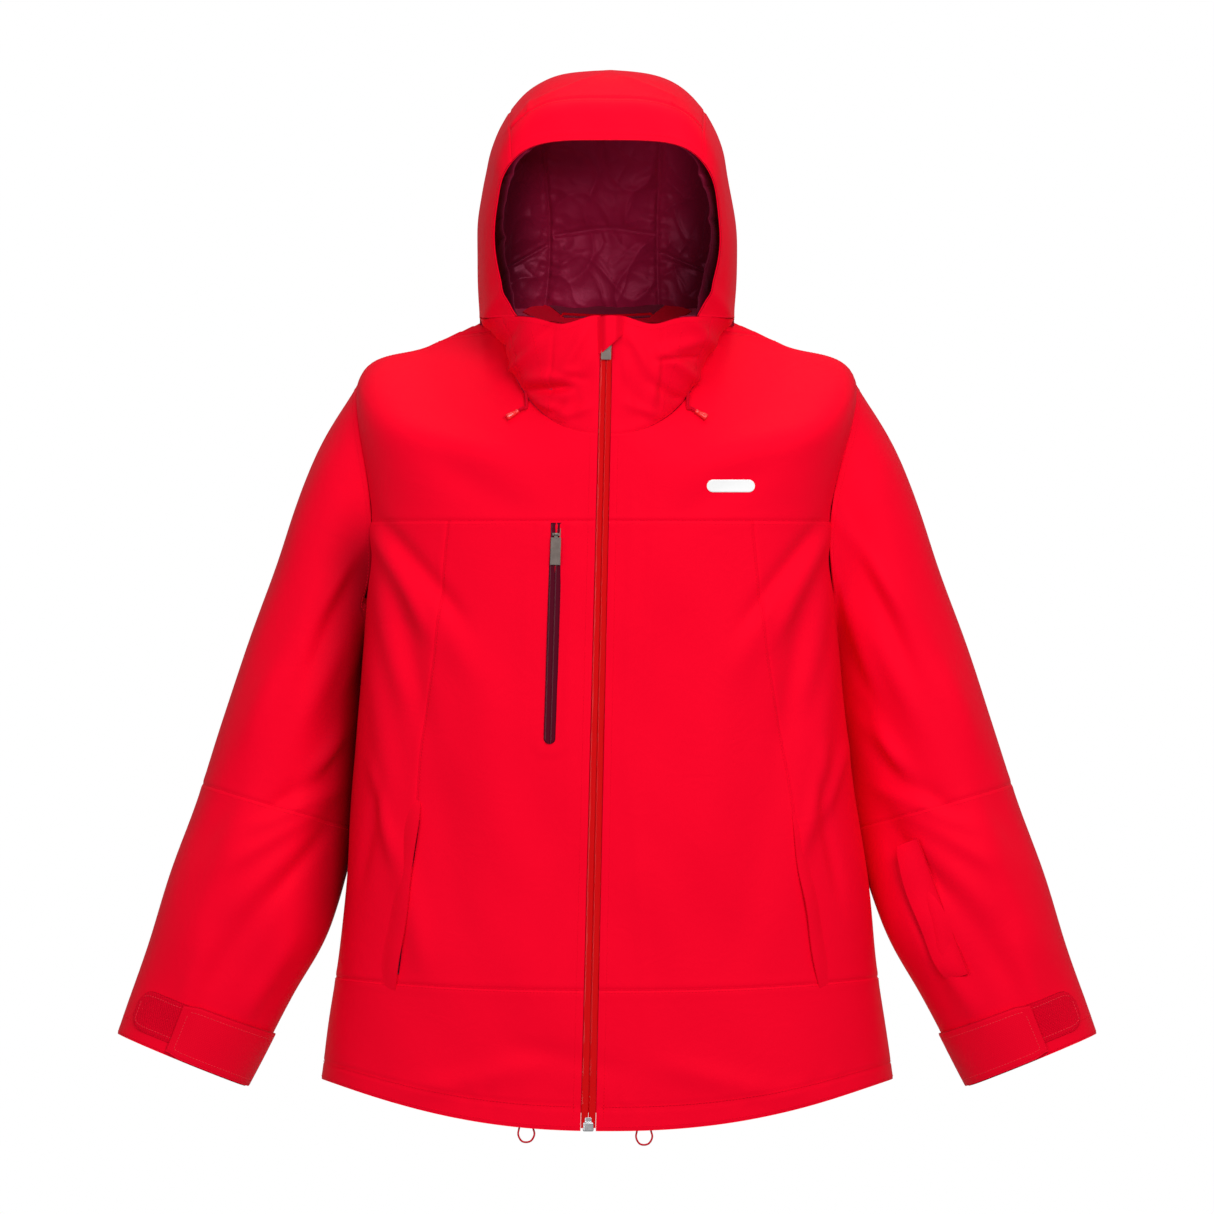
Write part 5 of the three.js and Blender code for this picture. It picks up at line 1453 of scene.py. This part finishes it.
# Pockets: side of the seat, the seat's and the lip's heights over the zip, and the welt's spare length.
POCKETS = (
    ("hand_pocket_left", 1, -0.8, 4.4, 40.0),
    ("hand_pocket_right", -1, -0.8, 3.8, 40.0),
    ("sleeve_pocket", 1, 0.3, 5.8, 14.0),
)


class JACKET_OT_pockets(Builder):
    """Hand and sleeve pockets: hidden zips under welted cloth flaps"""

    bl_idname = "jacket.pockets"
    bl_label = "Pockets"

    def execute(self, context):
        for name, sign, seat_lift, high, spare in POCKETS:
            place = node_frame(f"{name}_zip")
            self.zip_strip(name, *place)
            self.flap(name, sign, seat_lift, high, spare, *place)
        return {"FINISHED"}

    def zip_strip(self, name, centre, down, out, across, length):
        """Laminated strip, 9.2 mm wide, grooved along its middle."""
        t = np.linspace(-0.5, 0.5, 90)[:, None]
        s = np.linspace(-1, 1, 15)[None, :]
        lift = 0.9 * smooth(1, 0.8, np.abs(s)) - 0.5 * bump(s, 0.08) + 0.3
        base = centre + down * (t * length)[..., None] + across * (s * 4.6)[..., None]
        outer = base + out * (lift + 0 * t)[..., None]
        obj = slab(f"zip_laminate_{name}", outer, base - out * 0.6, np.stack([s * 4.6 + 0 * t, t * length + 0 * s], -1))
        finish_piece(obj, "jacket", f"{name}_zip", "laminate_dark")

    def flap(self, name, sign, seat_lift, high, spare, centre, down, out, across, length):
        """Welt: seated on one side, a soft lip over the zip, both ends running flat into the seam."""
        t = np.concatenate([np.linspace(-0.5, -0.47, 6), np.linspace(-0.46, 0.46, 90), np.linspace(0.47, 0.5, 6)])
        s = np.concatenate([[0, 0.02, 0.05], np.linspace(0.09, 0.9, 26), [0.93, 0.955, 0.975, 0.99, 1.0]])
        t, s = t[:, None], s[None, :]
        reach = length + spare
        open_share = np.sqrt(np.clip(1 - (2 * np.abs(t)) ** 2.6, 0, 1))
        seat = sign * (4.2 + 17)
        edge = -sign * (6.2 * open_share + 1.0 * (1 - open_share))
        x = lerp(seat, edge, s)
        rise = smooth(0.0, 0.85, s) * open_share
        lip = 0.9 * np.exp(-(((1 - s) * 17) ** 2) / 9) * open_share
        waves = 0.5 * np.sin(t * 17 + 1.2) * s * open_share
        height = lerp(seat_lift - 2.2, high, rise) + lip + waves
        wobble = 0.9 * np.sin(t * 13 + 0.6) * s
        base = centre + down * (t * reach + 0 * s)[..., None] + across * (x + wobble)[..., None]
        outer = base + out * (height + 0.75)[..., None]
        inner = base + out * (height - 0.45)[..., None]
        obj = slab(f"welt_{name}", outer, inner, np.stack([x + 0 * t, t * reach + 0 * s], -1))
        finish_piece(obj, "jacket", f"{name}_flap", "shell_red")


# ---- Cuffs -------------------------------------------------------------------------------


class JACKET_OT_cuffs(Builder):
    """Loop patches fixed to the cuffs, and the tabs that close over them"""

    bl_idname = "jacket.cuffs"
    bl_label = "Cuff tabs"

    def execute(self, context):
        for name, sign in SIDES:
            tab = f"cuff_tab_{name}"
            self.piece(f"loop_patch_{name}", sign, (31, 112), (6.45, 6.87), self.rounded, 0.4, 1.0,
                       f"cuff_patch_{name}", "jacket", "loop_red")
            self.piece(f"closing_tab_{name}", sign, (76, 171), (6.43, 6.985), self.tapered, 2.0, 1.7,
                       tab, tab, "tab_red")
        return {"FINISHED"}

    def rounded(self, s):
        """Width of a piece with one round end: the square root of one less a power of the way left."""
        return np.sqrt(np.clip(1 - (1 - np.minimum(s / 0.21, 1)) ** 2.2, 0.02, 1))

    def tapered(self, s):
        """Width of a piece whose free end narrows by a tenth."""
        return 1 - 0.10 * (1 - smooth(0, 0.14, s))

    def piece(self, label, sign, psi, rows, width, bottom, thickness, node, body, material_name):
        """Stitched piece round the cuff, from one angle to another, between two rows of the sleeve."""
        surface, axis, cloth = sleeve(sign), arm_axis(sign), sleeve_cloth(sign)
        s = np.concatenate([[0, 0.012, 0.03], np.linspace(0.06, 0.94, 46), [0.97, 0.988, 1.0]])
        w = bordered(20)[:, None]
        u = lerp(*psi, s)[None, :] * DEG + 0 * w
        v = lerp(*rows, 0.5 + (w - 0.5) * width(s))
        base = surface(u, v)
        n = normal(surface, u, v, axis)
        edge = np.minimum(np.minimum(s, 1 - s)[None, :] * 90, np.minimum(w, 1 - w) * 40)
        lift = cloth(base) + bottom
        top = lift + thickness - 0.5 * np.exp(-edge / 0.8) + 0.3 * bump(edge - 1.6, 0.9)
        outer = base + n * top[..., None]
        obj = slab(label, outer, base + n * lift[..., None], np.stack([u * 60, v * 60], -1))
        finish_piece(obj, body, node, material_name)
        i, j = self.border(*u.shape)
        stitches(f"stitches_{label}", [(outer[i, j] + n[i, j] * 0.1, n[i, j])], "thread_light", body)

    def border(self, rows, columns):
        """Grid places three lines in from the edge, once round."""
        low, right = rows - 4, columns - 4
        ring = [*((3, j) for j in range(3, right)), *((i, right) for i in range(3, low)),
                *((low, j) for j in range(right, 3, -1)), *((i, 3) for i in range(low, 3, -1)), (3, 3)]
        return np.array(ring).T


# ---- Seams, loop, patch and mark ---------------------------------------------------------


class JACKET_OT_stitching(Builder):
    """Visible stitch rows of the shell"""

    bl_idname = "jacket.stitching"
    bl_label = "Stitching"

    def execute(self, context):
        t = np.linspace(0, 1, 700)
        body = lambda u, v: surface_line(torso, u, v, body_axis, body_cloth)
        rows = []
        for sign in (1, -1):
            edge = zip_edge(torso, sign, 3.5)(np.full(1, 7.83))[0]
            rows.append(body(lerp(edge, sign * math.pi, t), 7.83))
            rows.append(body(lerp(zip_edge(torso, sign, 3.5)(np.full(1, 7.97))[0], sign * math.pi, t), 7.97))
        stitches("stitches_hem", rows)
        rows = []
        for sign in (1, -1):
            v = lerp(0.05, 7.95, t)
            rows.append(body(zip_edge(torso, sign, 7.5)(v), v))
            side = side_edge(sign, -1)(np.full(1, 3.03))[0]
            rows.append(body(lerp(zip_edge(torso, sign, 3)(np.full(1, 3.03))[0], side, t), 3.035))
            low = np.full(1, 7.02)
            rows.append(body(lerp(zip_edge(torso, sign, 3)(low)[0], side_edge(sign, -1)(low)[0], t), 7.022))
            v = lerp(3.03, 6.97, t)
            rows.append(body(princess(sign)(v) - sign * 0.014, v))
            v = lerp(0.04, 1.98, t)
            rows.append(body(side_edge(sign, -1)(v) - sign * 0.02, v))
        stitches("stitches_front", rows)
        top = lambda u, v: surface_line(hood, u, v, head_centre, hood_cloth)
        psi = lerp(50.5 * DEG, 129.5 * DEG, t)
        rows = [top(psi, 0.93), top(psi, 1.07), top(lerp(6, 174, t) * DEG, 0.14)]
        for sign in (1, -1):
            v = lerp(0.1, 6.6, t)
            rows.append(top(math.pi / 2 - sign * (40 * DEG - 0.022), v))
            rows.append(top(math.pi / 2 - sign * (40 * DEG + 0.022), v))
        stitches("stitches_hood", rows)
        neck = lambda u, v: surface_line(collar, u, v, body_axis, hood_cloth)
        rows = []
        for sign in (1, -1):
            start = zip_edge(collar, sign, 2)(np.full(1, 0.9))[0]
            rows.append(neck(lerp(start, sign * 48 * DEG, t), 0.95))
            rows.append(neck(lerp(start, sign * 80 * DEG, t), 0.05))
            rows.append(neck(sign * 28.5 * DEG + 0 * t, lerp(0.08, 0.9, t)))
        stitches("stitches_collar", rows)
        for name, sign in SIDES:
            arm = lambda u, v, sign=sign: surface_line(sleeve(sign), u, v, arm_axis(sign), sleeve_cloth(sign))
            turn = lerp(0, 2 * math.pi, t)
            stitches(f"stitches_sleeve_{name}", [arm(turn, 6.8), arm(turn, 6.97), arm(turn, 4.04), arm(turn, 0.12)])
        return {"FINISHED"}


class JACKET_OT_neck(Builder):
    """Hanger loop and the small patch under it, inside the back of the neck"""

    bl_idname = "jacket.neck"
    bl_label = "Neck pieces"

    def execute(self, context):
        w = np.linspace(0.30, 0.47, 12)[:, None]
        s = np.linspace(0, 1, 60)[None, :]
        angle = lerp(math.pi - 20 * DEG, math.pi + 20 * DEG, s) + 0 * w
        base = collar(angle, w + 0 * s)
        n = normal(collar, angle, w + 0 * s, body_axis)
        low, high = (np.array(c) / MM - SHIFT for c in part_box("hanger_loop"))
        z = lerp(high[2] - 0.5, low[2] + 0.5, (w - 0.30) / 0.17) - 1.6 * np.sin(math.pi * s)
        deep = 9.4 + 2.6 * np.sin(math.pi * s)
        outer = base - n * (deep + 0 * w)[..., None]
        inner = base - n * (deep + 1.4 + 0 * w)[..., None]
        outer[..., 2], inner[..., 2] = z, z
        obj = slab("hanger_strap", outer, inner, np.stack([angle * 110, z], -1))
        finish_piece(obj, "jacket", "hanger_loop", "tab_red")
        self.band(s)
        angle = lerp(math.pi - 19 * DEG, math.pi + 19 * DEG, s) + 0 * w
        w = np.linspace(0.30, 0.98, 18)[:, None]
        base = collar(angle[:1] + 0 * w, w + 0 * s)
        n = normal(collar, angle[:1] + 0 * w, np.clip(w, 0.01, 1) + 0 * s, body_axis)
        edge = np.minimum(np.minimum(s, 1 - s) * 78, np.minimum(w - 0.30, 0.98 - w) * 80)
        deep = 9.6 + 0.5 * (1 - np.exp(-edge / 1.2))
        outer, inner = base - n * (deep + 0.5)[..., None], base - n * 9.2
        obj = slab("neck_patch", outer, inner, np.stack([s * 78 + 0 * w, w * 80 + 0 * s], -1))
        finish_piece(obj, "jacket", None, "patch_burgundy")
        return {"FINISHED"}

    def band(self, s):
        """Red band inside the back of the collar; its upper edge is an arch."""
        t = np.linspace(0, 1, 18)[:, None]
        angle = lerp(math.pi - 42 * DEG, math.pi + 42 * DEG, s) + 0 * t
        top = 1.22 - 0.62 * np.abs(2 * s - 1) ** 2
        w = lerp(0.0, 1.0, t) * top
        base = collar(angle, w)
        n = normal(collar, angle, np.clip(w, 0.01, 0.99), body_axis)
        edge = np.minimum(np.minimum(s, 1 - s) * 170, np.minimum(t, 1 - t) * 90)
        deep = 7.9 + 0.7 * (1 - np.exp(-edge / 1.4)) + 0.4 * np.sin(angle * 21) + 2.2 * smooth(0.9, 1.2, w)
        obj = slab("neck_band", base - n * (deep + 0.7)[..., None], base - n * (deep * 0 + 7.8)[..., None],
                   np.stack([angle * 110, w * 80], -1))
        finish_piece(obj, "jacket", None, "facing_red")


class JACKET_OT_marks(Builder):
    """Small plain transfer on the chest, without words or signs"""

    bl_idname = "jacket.marks"
    bl_label = "Plain transfers"

    def execute(self, context):
        self.mark("transfer_chest", torso, body_axis, body_cloth, (118.0, -171.0), (46.0, 12.0), 1)
        return {"FINISHED"}

    def mark(self, name, surface, outside, cloth, place, size, sign):
        """One plain bar with rounded ends, printed on the cloth."""
        width, height = size
        s = np.sin(np.linspace(-0.5, 0.5, 50) * math.pi)[None, :]
        t = np.linspace(-1, 1, 12)[:, None]
        round_end = np.clip((np.abs(s) * width - (width - height)) / height, 0, 0.999)
        x = place[0] + s * width / 2 + 0 * t
        z = place[1] + t * height / 2 * np.sqrt(1 - round_end**2)
        u, v = at_front(surface, x, z, sign, 2.0, 3.0)
        points, _ = on_cloth(surface, u, v, outside, cloth, 0.35)
        verts = points.reshape(-1, 3)
        obj = make_object("transfer_chest", verts, [grid_faces(12, 50)], verts[:, [0, 2]])
        body = obj.modifiers.new("printed_film", "SOLIDIFY")
        body.thickness = 0.0002
        finish_piece(obj, "jacket", None, "mark_white")


# ---- Stage -------------------------------------------------------------------------------


class JACKET_OT_stage(Builder):
    """Bright studio: white surround, two large soft lights and a weak top light"""

    bl_idname = "jacket.stage"
    bl_label = "Stage"

    def execute(self, context):
        scene = context.scene
        scene.view_settings.view_transform = "Standard"
        world = bpy.data.worlds.new("white_studio")
        scene.world = world
        world.use_nodes = True
        tree = world.node_tree
        back = tree.nodes["Background"]
        back.inputs["Color"].default_value = (1, 1, 1, 1)
        path = tree.nodes.new("ShaderNodeLightPath")
        strength = math_node(tree, "MULTIPLY_ADD", path.outputs["Is Camera Ray"], 1.0 - 0.30, 0.30)
        tree.links.new(strength, back.inputs["Strength"])
        key = scene.jacket_stage.key
        self.area("key_light", (1.1, -3.0, 1.0), (0.0, -0.15, -0.2), 1.5, key)
        self.area("fill_light", (-1.6, -3.1, 0.2), (0.0, -0.15, -0.3), 2.0, key * 0.46)
        self.area("top_light", (0.1, -0.4, 2.3), (0.0, -0.1, 0.0), 1.4, key * 0.30)
        return {"FINISHED"}

    def area(self, name, place, aim, size, power):
        data = bpy.data.lights.new(name, "AREA")
        data.size = size
        data.energy = power
        light = bpy.data.objects.new(name, data)
        bpy.context.scene.collection.objects.link(light)
        light.location = place
        heading = [a - b for a, b in zip(aim, place)]
        flat = math.hypot(heading[0], heading[1])
        light.rotation_euler = (math.atan2(flat, -heading[2]), 0.0, math.atan2(heading[1], heading[0]) - math.pi / 2)


class JACKET_PT_panel(bpy.types.Panel):
    """Sidebar panel with the jacket's settings and steps"""

    bl_label = "Hardshell jacket"
    bl_idname = "JACKET_PT_panel"
    bl_space_type = "VIEW_3D"
    bl_region_type = "UI"
    bl_category = "Jacket"

    def draw(self, context):
        scene = context.scene
        for label, settings in (("Shell", scene.jacket_shell), ("Lining", scene.jacket_lining),
                                ("Trim", scene.jacket_trim), ("Stage", scene.jacket_stage)):
            box = self.layout.box()
            box.label(text=label)
            for prop in settings.bl_rna.properties:
                if prop.identifier not in ("rna_type", "name"):
                    box.prop(settings, prop.identifier)
        for operator in OPERATORS:
            self.layout.operator(operator.bl_idname)


OPERATORS = (
    JACKET_OT_camera, JACKET_OT_cords, JACKET_OT_torso, JACKET_OT_hood, JACKET_OT_sleeves, JACKET_OT_linings,
    JACKET_OT_hood_lining, JACKET_OT_main_zip, JACKET_OT_chest_zip, JACKET_OT_pockets, JACKET_OT_cuffs,
    JACKET_OT_stitching, JACKET_OT_neck, JACKET_OT_marks, JACKET_OT_stage,
)
CLASSES = (ShellSettings, LiningSettings, TrimSettings, StageSettings, *OPERATORS, JACKET_PT_panel)
SETTINGS = (("jacket_shell", ShellSettings), ("jacket_lining", LiningSettings),
            ("jacket_trim", TrimSettings), ("jacket_stage", StageSettings))


def register():
    for cls in CLASSES:
        bpy.utils.register_class(cls)
    for name, cls in SETTINGS:
        setattr(bpy.types.Scene, name, PointerProperty(type=cls))


def unregister():
    for name, _ in SETTINGS:
        delattr(bpy.types.Scene, name)
    for cls in reversed(CLASSES):
        bpy.utils.unregister_class(cls)


def corners(box):
    return [[float(value) for value in corner] for corner in box]


def main():
    register()
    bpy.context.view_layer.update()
    make_materials()
    polish_metal()
    for operator in OPERATORS:
        group, name = operator.bl_idname.split(".")
        getattr(getattr(bpy.ops, group), name)()


if __name__ == "__main__":
    main()
